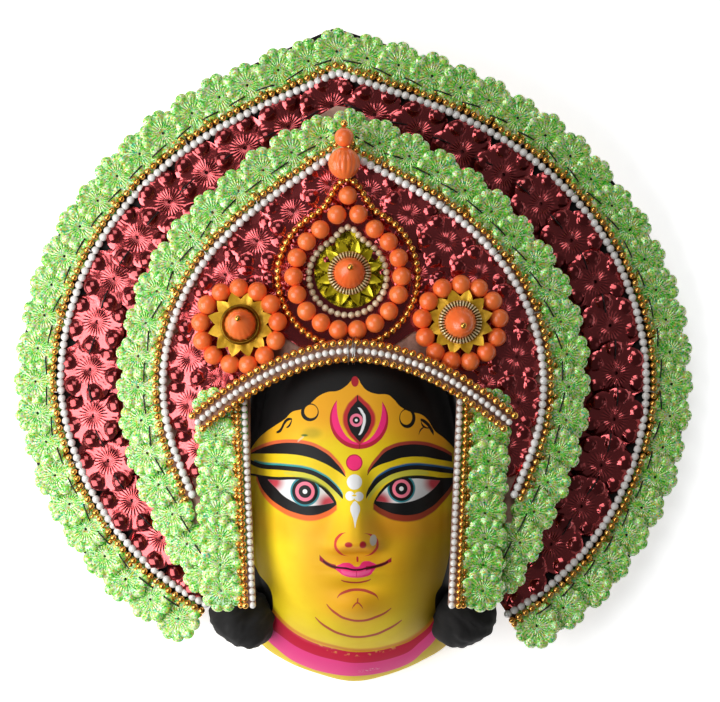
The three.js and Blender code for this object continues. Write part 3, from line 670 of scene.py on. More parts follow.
hairline = [
    (238, 470), (249, 452), (258, 439), (267, 431), (276, 425),
    (285, 419), (293, 411.5), (302, 409), (311, 403), (319, 396), (328, 392), (337, 391), (346, 386),
    (352, 380), (356, 377.5), (361, 384), (368, 391), (377, 394), (387, 394.5), (393, 398.5), (401, 407),
    (411, 412), (420, 414), (427, 419), (435, 431), (444, 438), (453, 447), (464, 462),
]
leftTemple = [(243, 440), (246, 455), (247, 500), (250, 548), (258, 572), (273, 603), (262, 622), (240, 640)]
rightTemple = [
    (464, 440), (459, 455), (453.5, 520), (449, 556),
    (442, 584), (435, 601), (443, 622), (466, 640),
]
leftEye = {
    "upperEdge": [
        (249, 474), (262, 476.5), (276, 478), (291, 478),
        (306.5, 479), (322, 486), (331, 495), (336.5, 504),
    ],
    "lowerEdge": [(257, 475.5), (265, 492.5), (280.5, 506), (296, 513), (311, 515.4), (325, 512), (336, 505)],
    "whiteTop": [(268, 479.5), (280, 480), (291, 479.5), (305, 480.5), (318, 486), (327, 494), (333.5, 502)],
    "whiteLow": [
        (268, 480), (276, 488), (284, 496), (293, 501.5),
        (303.5, 505.5), (316, 505.5), (333.5, 502.5),
    ],
    "iris": (305, 491.4),
    "irisScale": 1.0,
    "halo": srgb(238, 96, 48),
    "haloDrop": 4.8,
    "browGlow": srgb(228, 98, 60),
    "lidEdge": srgb(52, 158, 158),
    "glowLid": [(284, 468), (306.5, 471), (322, 477.5), (333, 486), (341, 495)],
    "lid": [
        (248, 460), (254, 463.5), (261, 466), (284, 468),
        (306.5, 471), (322, 477.5), (333, 486), (343, 497.5),
    ],
    "browHigh": [
        (251, 453.4), (268, 446), (279, 443.6), (291, 443),
        (306.5, 444.6), (322, 451), (337, 464), (345.5, 476.4),
    ],
    "browLow": [
        (251, 453.6), (268, 453.4), (291, 454), (306.5, 456.5),
        (322, 462), (334, 468.5), (345.5, 476.8),
    ],
}
rightEye = {
    "upperEdge": [
        (374, 503), (381, 492), (390, 483.5), (400, 478.5),
        (414, 476.5), (430, 477.5), (444, 479), (455, 478),
    ],
    "lowerEdge": [
        (374, 503.5), (383, 509.5), (398, 514.6), (414, 514.6),
        (429, 508.5), (442, 497), (454, 481),
    ],
    "whiteTop": [
        (376, 500), (383, 491), (391, 484.5), (400, 480.5),
        (414, 478.5), (428, 479.5), (440, 480.5),
    ],
    "whiteLow": [(376, 500.8), (383, 501.8), (398, 503), (408, 502), (418, 499), (429, 492.5), (440, 481)],
    "iris": (401.4, 488.6),
    "irisScale": 0.94,
    # These colours are darker than the left eye's: partly the paint's own deeper red and blue, partly painted
    # shade of the face's right side
    "halo": srgb(150, 26, 34),
    "haloDrop": 5.6,
    "browGlow": srgb(166, 44, 48),
    "lidEdge": srgb(26, 92, 146),
    "glowLid": [(368, 493), (371, 488), (383, 476.5), (398, 470), (414, 467.4), (429, 468.4)],
    "lid": [
        (366, 497), (371, 488), (383, 476.5), (398, 470),
        (414, 467.4), (429, 468.4), (444, 470.5), (456, 472),
    ],
    "browHigh": [(367.5, 474.5), (377, 461), (391, 449), (406, 445), (421, 445), (437, 449), (452, 456.5)],
    "browLow": [(367.5, 475), (377, 466), (391, 461), (406, 457), (421, 456.5), (437, 459), (452, 461.5)],
}
irisRings = [("teal", 15), ("black", 13.2), ("pinkRing", 9.9), ("black", 6.5), ("white", 2.4)]


def paintEye(face, eye):
    opening = face.area(eye["upperEdge"], eye["lowerEdge"])
    under = [(c, r + eye["haloDrop"]) for c, r in eye["lowerEdge"]]
    face.lay(face.area(eye["lowerEdge"], under, feather=1.3, grow=0.5), eye["halo"], 0.92)
    face.lay(opening, paint["black"])
    white = face.area(eye["whiteTop"], eye["whiteLow"])
    face.lay(white, paint["white"])
    for corner in (eye["whiteTop"][0], eye["whiteTop"][-1]):
        inward = 1 if corner is eye["whiteTop"][0] else -1
        blush = face.spot((corner[0] + inward * 3, corner[1] + 2), 7.0, (1.0, 0.8), feather=7.0)
        face.lay(face.both(white, blush), srgb(196, 26, 52), 0.95)
    for tint, radius in irisRings:
        colour = srgb(250, 128, 150) if tint == "pinkRing" else paint[tint]
        softness = 0.6 if tint == "teal" else None
        disc = face.spot(eye["iris"], radius * pixelOnFace * eye["irisScale"], feather=softness)
        face.lay(face.both(disc, opening), colour)
    face.lay(face.stroke(eye["upperEdge"], 1.5, taper=0.6), paint["black"])
    for shift, tint, width, strength in (
        (5.0, srgb(190, 204, 84), 3.4, 0.6),
        (-2.6, eye["lidEdge"], 2.2, 1.0),
    ):
        beside = [(c, r + shift) for c, r in (eye["glowLid"] if shift > 0 else eye["lid"][1:])]
        face.lay(face.stroke(beside, width, taper=0.3, feather=0.5 * width), tint, strength)
    face.lay(face.stroke(eye["lid"], 2.8, taper=0.35), paint["black"])
    glow = [(c, r - 1.6) for c, r in eye["browHigh"]]
    face.lay(face.stroke(glow, 2.6, taper=0.6, feather=0.9), eye["browGlow"], 0.95)
    face.lay(face.area(eye["browHigh"], eye["browLow"], grow=0.15), paint["black"])


def paintThirdEye(face):
    hollow = face.spot((359.5, 405), pixelOnFace * 38, (23 / 38, 1))
    outside = calc(face.tree, "SUBTRACT", 1.0, hollow)
    face.lay(face.both(face.spot((359, 419.6), pixelOnFace * 29.6), outside), srgb(186, 28, 56))
    face.lay(face.both(face.spot((359, 417.2), pixelOnFace * 27.6, feather=0.6), outside), paint["pink"])
    face.lay(face.stroke([(359.6, 439), (359.6, 444), (359.6, 449)], 0.9, upright=True), srgb(150, 24, 40))
    haloLeft = [
        (357.6, 394), (351.5, 399.5), (345.5, 407), (342, 419),
        (346, 431.5), (353, 440), (359.5, 445.5),
    ]
    haloRight = [(358.4, 394), (365, 400), (372, 407.5), (376.3, 419), (373, 430), (366, 440), (359.9, 445.5)]
    face.lay(face.area(haloLeft, haloRight, feather=1.6, upright=True, grow=-0.5), srgb(190, 44, 46))
    lensLeft = [
        (357.9, 400.5), (354, 405), (350.4, 410), (348, 419),
        (350.4, 429), (355.5, 436.5), (359.6, 441),
    ]
    lensRight = [
        (358.2, 400.5), (363, 405), (367.6, 410.5), (370.6, 419),
        (368.4, 428), (363.6, 436), (359.9, 441),
    ]
    face.lay(face.area(lensLeft, lensRight, upright=True, feather=0.9, grow=0.5), srgb(150, 24, 34))
    face.lay(face.area(lensLeft, lensRight, upright=True, grow=0.35), paint["black"])
    face.lay(face.stroke([(357.4, 395), (357.6, 399), (358, 404)], 0.8, upright=True), paint["black"])
    for tint, radius in (("pinkRing", 6.6), ("black", 3.7), ("white", 1.5)):
        colour = srgb(244, 122, 150) if tint == "pinkRing" else paint[tint]
        face.lay(face.spot((356.3, 420.2), radius * pixelOnFace), colour)
    crescent = [(358.6, 407.5), (362, 412), (364.4, 419), (363, 427), (359.3, 435)]
    face.lay(face.stroke(crescent, 1.7, upright=True, taper=0.5), paint["white"])


def paintMarks(face):
    face.lay(face.spot((355, 381.5), 2.3, (1.0, 1.4)), srgb(176, 30, 44))
    curls = (((309.8, 412.2), (311.0, 411.4), 9.1, 6.8, 1.0), ((407.4, 418.2), (406.2, 417.3), 8.3, 6.2, 1.2))
    for outer, inner, reach, gap, tall in curls:
        ball = face.spot(outer, reach * pixelOnFace, (1, tall))
        hole = face.spot(inner, gap * pixelOnFace, (1, tall))
        face.lay(face.both(ball, calc(face.tree, "SUBTRACT", 1.0, hole)), paint["hair"])
    for points, width in (
        ([(276.4, 432.4), (280, 430.6), (282.8, 426), (285.2, 421.8), (288.5, 419.2), (292, 419.2)], 1.6),
        ([(286.4, 427.6), (288.4, 426.4), (290.6, 423.4), (292, 419.8)], 1.0),
        ([(420.6, 419.6), (424, 421.2), (428, 424.6), (431, 429), (433.8, 433.4)], 1.9),
        ([(420.8, 420.2), (422.4, 425), (425.4, 427.4), (429.6, 428)], 1.0),
        ([(418.8, 434.4), (420.6, 430), (423.6, 427.6)], 0.8),
    ):
        face.lay(face.stroke(points, width, taper=0.6), paint["hair"])
    bindi = face.spot((354.3, 462.6), 8.4 * pixelOnFace)
    face.lay(bindi, srgb(196, 34, 60))
    face.lay(face.spot((354.3, 462.6), 7.2 * pixelOnFace, feather=0.6), paint["pink"])
    face.lay(face.spot((354.4, 482), 7.6 * pixelOnFace), paint["white"])
    for centre in ((350, 496), (358.8, 496.5)):
        face.lay(face.spot(centre, 4.7 * pixelOnFace), paint["white"])
    face.lay(face.spot((354.3, 495.5), 1.5 * pixelOnFace, (1.6, 0.6)), paint["yellow"])
    dropLeft = [(354.6, 501), (352, 504), (350.3, 509), (351.5, 514), (353.5, 520), (354.8, 528)]
    dropRight = [(355, 501), (358, 504), (360, 509), (358.8, 514), (356.8, 520), (355.2, 528)]
    face.lay(face.area(dropLeft, dropRight, upright=True), paint["white"])


def paintNoseAndMouth(face):
    for wing in ([(345.5, 532.6), (339, 536), (335.3, 543.6), (338, 551), (348, 556)],
                 [(365, 533.5), (373, 536.5), (377.5, 543.6), (374.5, 551), (365, 556)]):
        face.lay(face.stroke(wing, 1.5, upright=True, taper=0.4), srgb(206, 52, 56))
    for nostril, lean in (((348.6, 545), (1.25, 0.9)), ((362.9, 545), (1.1, 1.2))):
        face.lay(face.spot(nostril, 1.9, lean, feather=0.8), srgb(176, 28, 40))
    face.lay(face.spot((373.3, 540.2), 2.5, (0.85, 1.3)), srgb(206, 200, 190))
    groove = face.stroke([(357.3, 556.5), (357.5, 559.4), (357.5, 562)], 1.3, upright=True, taper=0.6)
    face.lay(groove, srgb(190, 40, 50))
    lipHigh = [
        (334, 567.5), (340, 564.5), (346.5, 562.8), (352, 564.5), (357, 567),
        (361.5, 563), (366.6, 561.2), (372, 562.5), (377, 565.5),
    ]
    lipLow = [(334, 567.9), (339, 572), (345, 575.8), (356, 577.6), (368, 575.8), (373, 571.5), (377, 566)]
    face.lay(face.area(lipHigh, lipLow, grow=0.1), srgb(246, 48, 128))
    shine = [(341, 570.4), (348, 573.4), (356, 574.4), (364, 573), (371, 569.4)]
    face.lay(face.stroke(shine, 2.6, feather=1.6), paint["pinkLight"], 0.55)
    mouth = [(319.5, 557.5), (323, 560.6), (328, 564.2), (336, 567.2), (346, 568.3), (356, 570), (366, 568.4),
             (375, 566.6), (384, 563.8), (388, 561.6), (391.5, 559.6)]
    face.lay(face.stroke(mouth[:4], 2.3, taper=1.2, feather=0.6), srgb(156, 22, 48))
    face.lay(face.stroke(mouth[-5:], 2.1, taper=1.3, feather=0.6), srgb(170, 26, 52))
    face.lay(face.stroke(mouth[1:-1], 1.2, taper=0.7), srgb(56, 12, 16))
    cleft = face.stroke([(356.3, 570), (356.5, 573.5), (356.5, 577)], 0.5, upright=True)
    face.lay(cleft, srgb(206, 24, 84), 0.8)
    lines = (
        ([(341, 580), (348, 582), (356, 582.6), (364, 581.6), (371, 579)], 1.1),
        ([(337, 598), (347, 591.2), (357, 589.6), (369.4, 592), (378.5, 600)], 1.6),
        ([(326.4, 604), (336, 613.4), (347, 619), (360, 620.8), (376, 617), (391.4, 608)], 1.5),
        ([(315, 617), (328, 628), (342.6, 634.5), (357, 637), (371, 635.5), (386, 630), (402, 620)], 1.5),
    )
    for points, width in lines:
        face.lay(face.stroke(points, width, taper=0.2), paint["redLine"], 0.9)
    stem = face.stroke([(358, 598), (357.6, 600.5), (357.5, 603)], 0.9, upright=True)
    face.lay(stem, paint["redLine"], 0.9)
    fork = face.stroke([(352, 608.7), (354.5, 605), (357.5, 603), (360.5, 605), (363, 608.7)], 0.9)
    face.lay(fork, paint["redLine"], 0.9)


def paintNeck(face):
    crease = [
        (262, 594), (276, 616), (301.5, 637), (332, 648),
        (360, 652), (397, 646), (420, 634), (438, 611),
    ]
    redLow = [
        (262, 612), (276, 633), (310, 653.5), (335, 661),
        (358, 664), (397, 657.6), (420, 643), (438, 621),
    ]
    pinkLow = [
        (255, 622), (276, 648), (304, 666), (332, 674),
        (358, 676), (397, 668.5), (425, 650), (440, 632),
    ]
    neck = [(255, 612), (276, 632), (310, 653), (335, 660), (358, 663), (397, 656.6), (420, 642), (440, 618)]
    face.lay(face.area(crease, redLow), paint["redStripe"])
    face.lay(face.area(neck, pinkLow), paint["pinkStripe"])
    face.lay(face.stroke([(c, r - 2.0) for c, r in crease], 2.2, feather=1.4), srgb(226, 130, 30), 0.8)


# Small scars of use: a green-black smudge, flecks on the pink stripe and chipped paint on the crease
def paintWear(face):
    face.lay(face.spot((312, 433), 3.4, (1.6, 0.9), 4.0), srgb(150, 140, 24), 0.5)
    face.lay(face.spot((304.5, 435.3), 0.9, (2.2, 0.8), 0.8), srgb(48, 104, 36), 0.9)
    scratch = face.stroke([(297.5, 441.5), (300.5, 439), (304, 436.6)], 1.1, feather=0.8)
    face.lay(scratch, srgb(226, 214, 180), 0.7)
    flecks = face.stroke([(358, 671.5), (364, 671), (371, 669.5), (380, 668)], 1.5, feather=1.0)
    chips = face.stroke([(318, 643), (336, 651), (358, 654), (380, 651), (398, 646)], 2.4, feather=1.6)
    for mask, scale, tint in ((flecks, 900, srgb(250, 206, 214)), (chips, 320, srgb(246, 196, 96))):
        broken = face.edge(calc(face.tree, "SUBTRACT", noiseOf(face.tree, scale, 2.0), 0.56), 0.06)
        face.lay(face.both(mask, broken), tint, 0.6)


def airbrush(face):
    # Orange airbrush of the paint. The brow and cheek spots on the face's right side are laid stronger than
    # their twins on the left, so there they are also painted shade.
    soft = (
        ((352, 400), 26, (2.2, 0.8), 26, 0.72),
        ((266, 432), 16, (1.4, 0.6), 18, 0.5),
        ((440, 432), 20, (1.4, 0.6), 22, 0.7),
        ((326, 560), 17, (1.0, 1.5), 22, 0.5),
        ((392, 545), 18, (1.1, 1.6), 24, 0.5),
        ((356, 604), 14, (1.5, 0.8), 22, 0.6),
        ((300, 526), 15, (1.9, 0.6), 18, 0.3),
        ((412, 524), 15, (1.9, 0.6), 18, 0.55),
        ((356, 552), 8, (1.6, 1.0), 12, 0.5),
    )
    for centre, radius, stretch, feather, strength in soft:
        face.lay(face.spot(centre, radius, stretch, feather), paint["orange"], strength)
    # Painted shade on the right side of the jaw, brown laid over the yellow
    face.lay(face.spot((440, 588), 22, (0.9, 1.8), 34), srgb(168, 124, 8), 0.75)  # dusky side of the jaw


def facePaint():
    made, tree, shader = startMaterial("facePaint", paint["yellow"], 0.6, 0.0, Specular_IOR_Level=0.28)
    cloud = noiseOf(tree, 40, 4.0)
    ground = rampOf(tree, cloud, [(0.3, srgb(236, 200, 14)), (0.7, srgb(247, 218, 30))])
    face = FacePainter(tree, ground)
    airbrush(face)
    paintNeck(face)
    above = calc(tree, "SUBTRACT", face.y, face.curve(face.x, [facePoint(*p) for p in hairline]))
    leftEdge = face.curve(face.y, [facePoint(*p)[::-1] for p in leftTemple])
    rightEdge = face.curve(face.y, [facePoint(*p)[::-1] for p in rightTemple])
    pastLeft = calc(tree, "SUBTRACT", leftEdge, face.x)
    pastRight = calc(tree, "SUBTRACT", face.x, rightEdge)
    beside = calc(tree, "MAXIMUM", pastLeft, pastRight)
    low = facePoint(267, 622)[1]
    aboveNeck = face.edge(calc(tree, "SUBTRACT", face.y, low), 1.0)
    hair = face.edge(calc(tree, "MAXIMUM", above, beside), paint["feather"])
    face.lay(face.both(hair, aboveNeck), paint["hair"])
    paintEye(face, leftEye)
    paintEye(face, rightEye)
    paintThirdEye(face)
    paintMarks(face)
    paintNoseAndMouth(face)
    paintWear(face)
    tree.links.new(face.colour, shader.inputs["Base Color"])
    roughen(tree, shader, noiseOf(tree, 120, 3.0), 0.52, 0.66)
    addBump(tree, shader, noiseOf(tree, 900, 4.0, 0.6), 0.16, 0.25)
    return made


def makeFaceShell():
    bm = bmesh.new()
    bmesh.ops.create_uvsphere(bm, u_segments=240, v_segments=280, radius=1)
    below = [vert for vert in bm.verts if vert.co.z < -1e-4]
    bmesh.ops.delete(bm, geom=below, context="VERTS")
    for vert in bm.verts:
        angle = math.atan2(vert.co.y, vert.co.x)
        share = min(1.0, math.hypot(vert.co.x, vert.co.y))
        rim = rimDistance(angle)
        x = share * rim * math.cos(angle)
        y = shell["centreY"] + share * rim * math.sin(angle)
        z = shellHeight(x, y, True) if share < 0.99999 else 0.0
        wobble = 0.5 * noise.noise(Vector((x, y, z)) * 0.035) * smooth(z, 0, 20)
        vert.co = (x, y, z + wobble)
    bmesh.ops.recalc_face_normals(bm, faces=bm.faces)
    bmesh.ops.solidify(bm, geom=bm.faces[:], thickness=shell["wall"])
    for vert in bm.verts:
        vert.co.z = max(vert.co.z, 0.0)
    bm.normal_update()
    for face in bm.faces:
        middle = face.calc_center_median()
        if middle.z < shellHeight(middle.x, middle.y) - 0.4 * shell["wall"]:
            face.material_index = 1
    finishes["facePaint"] = facePaint()
    finishPiece("faceShell", bm, ["facePaint", "kraft"], ["face_shell"], 70, False)


# Stamped foil flowers: a rayed rosette with a pinhole, ringed by domed petals

# The bosses' tone below is painted light: a painted highlight on the green foil, painted shade on the red
greenFlower = {
    "radius": 14.8, "petals": 10, "rays": 24, "rosette": 0.54, "boss": 0.17, "rise": 1.1, "ray": 0.3,
    "around": 120, "rings": 9, "flat": 0.64, "bossLightShade": 0.3,
}
redFlower = {
    "radius": 20.5, "petals": 6, "rays": 24, "rosette": 0.4, "boss": 0.25, "rise": 2.4, "ray": 0.25,
    "around": 120, "rings": 12, "flat": 0.45, "bossLightShade": -0.3,
}


def flowerTemplate(name, kind, seed):
    wander = random.Random(seed)
    petals = kind["petals"]
    sizes = [wander.uniform(0.9, 1.08) for _ in range(petals)]
    bends = [wander.uniform(-0.8, 0.8) for _ in range(petals)]
    reliefLightShades = []
    bm = bmesh.new()
    layer = bm.verts.layers.float.new("ridge")

    def place(u, v):
        angle = 2 * math.pi * u
        share = 0.06 + 0.94 * v
        petal = int((u * petals + 0.5) % petals)
        off = (u * petals + 0.5) % 1 - 0.5
        lobe = math.cos(math.pi * off)
        reach = kind["radius"] * (0.86 + 0.14 * abs(lobe) ** 0.6 * sizes[petal])
        radius = reach * share
        x, y = radius * math.cos(angle), radius * math.sin(angle)
        z = 0.0
        rosette = kind["rosette"]
        fold = 1 - 4 * abs((u * kind["rays"]) % 1 - 0.5)
        inner = min(share / rosette, 1.0)
        rayed = smooth(inner, 0.25, 0.6) * (1 - smooth(share, rosette, rosette + 0.08))
        z += 1.4 * inner * (1.25 - inner) + kind["ray"] * fold * rayed
        centre = 0.77 * kind["radius"]
        bossAngle = 2 * math.pi * petal / petals
        gap = math.hypot(x - centre * math.cos(bossAngle), y - centre * math.sin(bossAngle))
        bump = 1 - (gap / (kind["boss"] * kind["radius"])) ** 2
        z += kind["rise"] * math.sqrt(max(bump, 0.0))
        z += 0.5 * bends[petal] * smooth(share, 0.55, 1.0) - 0.9 * smooth(share, 0.9, 1.0)
        # Painted light of the relief: the rays lighter on their crests, the bosses lighter or darker as set
        # above
        tone = kind["flat"] + rayed * (0.55 * fold + 0.1) + kind["bossLightShade"] * smooth(bump, -0.1, 0.7)
        reliefLightShades.append(clamp(tone + 0.35 * smooth(share, 0.93, 1.0)))
        return Vector((x, y, z))

    mappedGrid(bm, kind["around"], kind["rings"], place, 0, False)
    bm.verts.ensure_lookup_table()
    for vert, ridge in zip(bm.verts, reliefLightShades):
        vert[layer] = ridge
    bmesh.ops.remove_doubles(bm, verts=bm.verts, dist=1e-4)
    bmesh.ops.recalc_face_normals(bm, faces=bm.faces)
    template = bpy.data.meshes.new(name)
    bm.to_mesh(template)
    bm.free()
    return template


greenTemplates = [flowerTemplate("greenStamp%d" % i, greenFlower, 20 + i) for i in range(4)]
redTemplates = [flowerTemplate("redStamp%d" % i, redFlower, 40 + i) for i in range(4)]


# Places of a row of flowers that lap like tiles, each over the one before it
def lappedPlaces(tier, angles, offset, height, tilt, tuck=0.0):
    places = []
    for angle in angles:
        inwards = tuck * math.exp(-(((angle - tier["peakAngle"]) / 7) ** 2))
        turned = angle + draw.uniform(-0.2, 0.2)
        place = tierPlace(tier, turned, offset - inwards + draw.uniform(-0.8, 0.8), height)
        lean = Matrix.Rotation(math.radians(tilt + draw.uniform(-2, 2)), 4, "X")
        nod = Matrix.Rotation(math.radians(draw.uniform(-9, -3)), 4, "Y")
        turn = Matrix.Rotation(draw.uniform(0, 2 * math.pi), 4, "Z")
        places.append(place @ lean @ nod @ turn @ Matrix.Scale(draw.uniform(0.96, 1.03), 4))
    return places


def stampMixed(bm, templates, places):
    for i, place in enumerate(places):
        stampShape(bm, templates[i % len(templates)], place)


border = {"offset": 16.5, "pitch": 20.3, "height": 4.3, "tilt": 12, "tuck": 2.6}  # tuck is at the peak
bigPearl = 5.2
strandPitch = 4.85
goldBead = 4.8
foilTop = 2.6
goldRows = ((4.8, 5.6), (8.0, 1.4))  # offsets and heights of the upper row and the one half hidden by it


def startStamped():
    bm = bmesh.new()
    bm.verts.layers.float.new("ridge")
    return bm


def makeTier(name, tier, end, strandEnd):
    angles = anglesByPitch(tier, end, border["offset"], border["pitch"])
    places = lappedPlaces(tier, angles, border["offset"], border["height"], border["tilt"], border["tuck"])
    half = len(places) // 2
    bm = startStamped()
    stampMixed(bm, greenTemplates, places[:half])
    finishPiece(name + "LeftFlowers", bm, ["greenFoil"], [name + "_flower_border"], 60, False)
    bm = startStamped()
    stampMixed(bm, greenTemplates, places[half:])
    finishPiece(name + "RightFlowers", bm, ["greenFoil"], (), 60, False)

    def strandPath(offset, height, shift=0.0):
        return samplePath(lambda t: tierPoint(tier, tierAngle(strandEnd + shift, t), offset, height), 600)

    points = spaced(strandPath(0, foilTop + bigPearl / 2), strandPitch)
    makeBeads(name + "Pearls", name + "_pearl_strand", "pearl", "pearl", points, bigPearl, jitter=0.1)
    bm = bmesh.new()
    for offset, height in goldRows:
        addBeads(bm, spaced(strandPath(offset, height), strandPitch), 4.4, jitter=0.1)
    finishPiece(name + "GoldBeads", bm, ["gold"], [name + "_gold_strands"], 80)
    print(name, "tier: flowers and strands")


redPitch = 29.8
redOffset = -18.6


# A flat sheet of foil inside a tier's pearls, its torn outer edge turned up and notched between the stamps
def addFoilSheet(bm, tier, end, notches, widthAt, steps):
    layer = bm.verts.layers.float["ridge"]
    tones = []

    def sheet(u, v):
        angle = tierAngle(end, u)
        away = min((abs(angle - notch) for notch in notches), default=90)
        bite = 5.5 * math.exp(-((away * math.radians(radiusAt(tier, angle)) / 2.6) ** 4))
        start = 2.3 + bite + 0.4 * noise.noise(Vector((angle * 2, 0, 0)))
        point = tierPoint(tier, angle, -start - v * max(widthAt(angle) - start, 1), 1.2)
        point.z += 0.5 * noise.noise(point * 0.12) + 1.5 * (1 - smooth(v, 0, 0.12))
        tones.append(0.75 - 0.45 * smooth(v, 0.05, 0.2))
        return point

    before = len(bm.verts)
    mappedGrid(bm, steps, 16, sheet)
    bm.verts.ensure_lookup_table()
    for vert, tone in zip(bm.verts[before:], tones):
        vert[layer] = tone


def makeOuterFoil():
    bm = startStamped()
    angles = anglesByPitch(outerTier, outerTier["end"] - 1, -21, redPitch)
    notches = [(a + b) / 2 for a, b in zip(angles, angles[1:])]

    def widthAt(angle):
        return radiusAt(outerTier, angle) - radiusAt(innerTier, clamp(angle, -55, 235)) - 9

    addFoilSheet(bm, outerTier, outerTier["end"], notches, widthAt, 480)
    places = []
    for angle in angles:
        place = tierPlace(outerTier, angle, redOffset + draw.uniform(-1, 1), 3.6)
        lean = Matrix.Rotation(math.radians(8 + draw.uniform(-4, 4)), 4, "X")
        nod = Matrix.Rotation(math.radians(draw.uniform(-5, 5)), 4, "Y")
        places.append(place @ lean @ nod @ Matrix.Rotation(draw.uniform(-0.3, 0.3) + math.pi / 6, 4, "Z"))
    stampMixed(bm, redTemplates, places)
    finishPiece("outerRedFoil", bm, ["redFoil"], ["outer_red_foil"], 50, False)


def makeInnerFoil():
    bm = startStamped()
    end = 34
    panelEdge = 93.5
    lowStamps = ((216, 377), (486, 384))  # pixels of the stamps below the side medallions
    reaches = {}

    # The field ends above the brow band, higher where the lining shows beside the centre drop
    def belowField(x, y):
        bare = 15 * math.exp(-(((abs(x + 3.4) - 43) / 11) ** 2))
        return y < browY(x) + 5 + bare

    def widthAt(angle):
        if angle not in reaches:
            radius = radiusAt(innerTier, angle)
            reaches[angle] = radius - reachFromCentre(angle, belowField)
            if angle > 180 or angle < 0:
                beside = radius - panelEdge / abs(math.cos(math.radians(angle)))
                reaches[angle] = min(reaches[angle], max(beside, 3))
        return reaches[angle]

    angles = anglesByPitch(innerTier, end - 4, -14, 29.5)
    notches = [(a + b) / 2 for a, b in zip(angles, angles[1:])]
    addFoilSheet(bm, innerTier, end, notches, widthAt, 320)
    places = []
    for angle in angles:
        place = tierPlace(innerTier, angle, -15.5, 2.0)
        places.append(place @ Matrix.Rotation(math.radians(5), 4, "X") @ Matrix.Scale(0.9, 4))
    for angle in (46, 60, 73, 107, 121, 135):
        place = tierPlace(innerTier, angle, -43, 1.6)
        places.append(place @ Matrix.Rotation(draw.uniform(-0.5, 0.5), 4, "Z") @ Matrix.Scale(0.78, 4))
    for column, row in lowStamps:
        x, y = atPixel(column, row, 62)
        places.append(Matrix.Translation((x, y, frontOf(innerTier, x) + 1.6)) @ Matrix.Scale(0.72, 4))
    stampMixed(bm, redTemplates, places)
    finishPiece("innerRedFoil", bm, ["redFoil"], ["inner_red_foil"], 50, False)


# Brow band

brow = {"peakY": 3.7, "halfLength": 96, "drop": 44, "power": 1.85, "stripHalf": 6.6, "stripThick": 2,
        "spacing": 5.2, "pearl": 4.2}


def browY(x):
    return brow["peakY"] - brow["drop"] * (abs(x) / brow["halfLength"]) ** brow["power"]


def besideBrow(x, offset):
    slope = browY(x + 0.5) - browY(x - 0.5)
    length = math.hypot(1, slope)
    return x - offset * slope / length, browY(x) + offset / length


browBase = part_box("brow_strip")[1].z / mm - brow["stripThick"] - innerTier["front"]


def browPoint(x, offset, height):
    px, py = besideBrow(x, offset)
    return Vector((px, py, frontOf(innerTier, px) + browBase + height))


def makeBrowBand():
    bm = bmesh.new()
    half = brow["halfLength"]

    def strip(u, v):
        return browPoint(half * (2 * u - 1), brow["stripHalf"] * (2 * v - 1), brow["stripThick"])

    mappedGrid(bm, 120, 6, strip, brow["stripThick"])
    finishPiece("browStrip", bm, ["felt"], ["brow_strip"], 40)
    top = brow["stripThick"] + 0.3
    rows = (
        ("browPearls", "pearl", "pearl", 0, brow["pearl"], "brow_pearl_strand"),
        ("browUpperGold", "gold_bead", "gold", brow["spacing"], goldBead, "brow_upper_gold_strand"),
        ("browLowerGold", "gold_bead", "gold", -brow["spacing"], goldBead, "brow_lower_gold_strand"),
    )
    for name, slot, finish, offset, size, node in rows:
        path = samplePath(lambda t: browPoint(half * (2 * t - 1), offset, top + size / 2), 400)
        makeBeads(name, node, slot, finish, spaced(path, size * 1.01), size, 12, 8, 0.08)
    print("brow band")


# Side panels

panel = {"topX": 66, "bottomX": 60.5, "topY": -28, "bottomY": -153, "lean": 8, "board": 1.5,
         "pearl": 4.2, "flowerCount": 8, "leftShift": 1.5}


def panelPoint(side, share, offset, height):
    outwards = panel["leftShift"] if side < 0 else 0
    x = blend(panel["topX"], panel["bottomX"], share) + offset + outwards
    y = blend(panel["topY"], panel["bottomY"], share)
    return Vector((side * x, y, frontOf(innerTier, x) + 0.9 + panel["lean"] * share + height))


def makeSidePanels():
    base = panel["board"] + 0.3
    for name, side in (("left", -1), ("right", 1)):
        bm = bmesh.new()

        def card(u, v):
            return panelPoint(side, u, blend(-2, 26, v), panel["board"])

        mappedGrid(bm, 40, 8, card, panel["board"])
        for face in bm.faces:
            if face.calc_center_median().x * side > panel["bottomX"] + 6:
                face.material_index = 1
        finishPiece(name + "PanelBoard", bm, ["felt", "greenFoil"], [name + "_panel_board"], 40)
        path = samplePath(lambda t: panelPoint(side, t, 0, base + panel["pearl"] / 2), 200)
        points = spaced(path, panel["pearl"] * 1.01)
        node = name + "_panel_pearl_strand"
        makeBeads(name + "PanelPearls", node, "pearl", "pearl", points, panel["pearl"], 12, 8, 0.1)
        bm = bmesh.new()
        for offset, height in ((4.3, 3.6), (7.3, 1.2)):
            path = samplePath(lambda t: panelPoint(side, t, offset, base + height), 200)
            addBeads(bm, spaced(path, 4.1), 4.2, 10, 8, 0.1)
        finishPiece(name + "PanelGold", bm, ["gold"], [name + "_panel_gold_strands"], 80)
        bm = startStamped()
        places = []
        count = panel["flowerCount"]
        for i in range(count):
            share = blend(0.04, 0.93, i / (count - 1))
            point = panelPoint(side, share, 18.8 + draw.uniform(-0.6, 0.6), base + 2.4)
            lean = Matrix.Rotation(math.radians(13), 4, "X") @ Matrix.Rotation(math.radians(side * 8), 4, "Y")
            turn = Matrix.Rotation(draw.uniform(0, 6), 4, "Z")
            places.append(Matrix.Translation(point) @ lean @ turn @ Matrix.Scale(0.96, 4))
        stampMixed(bm, greenTemplates, places)
        node = name + "_panel_flowers"
        finishPiece(name + "PanelFlowers", bm, ["greenFoil"], [node], 60, False)
    print("side panels")


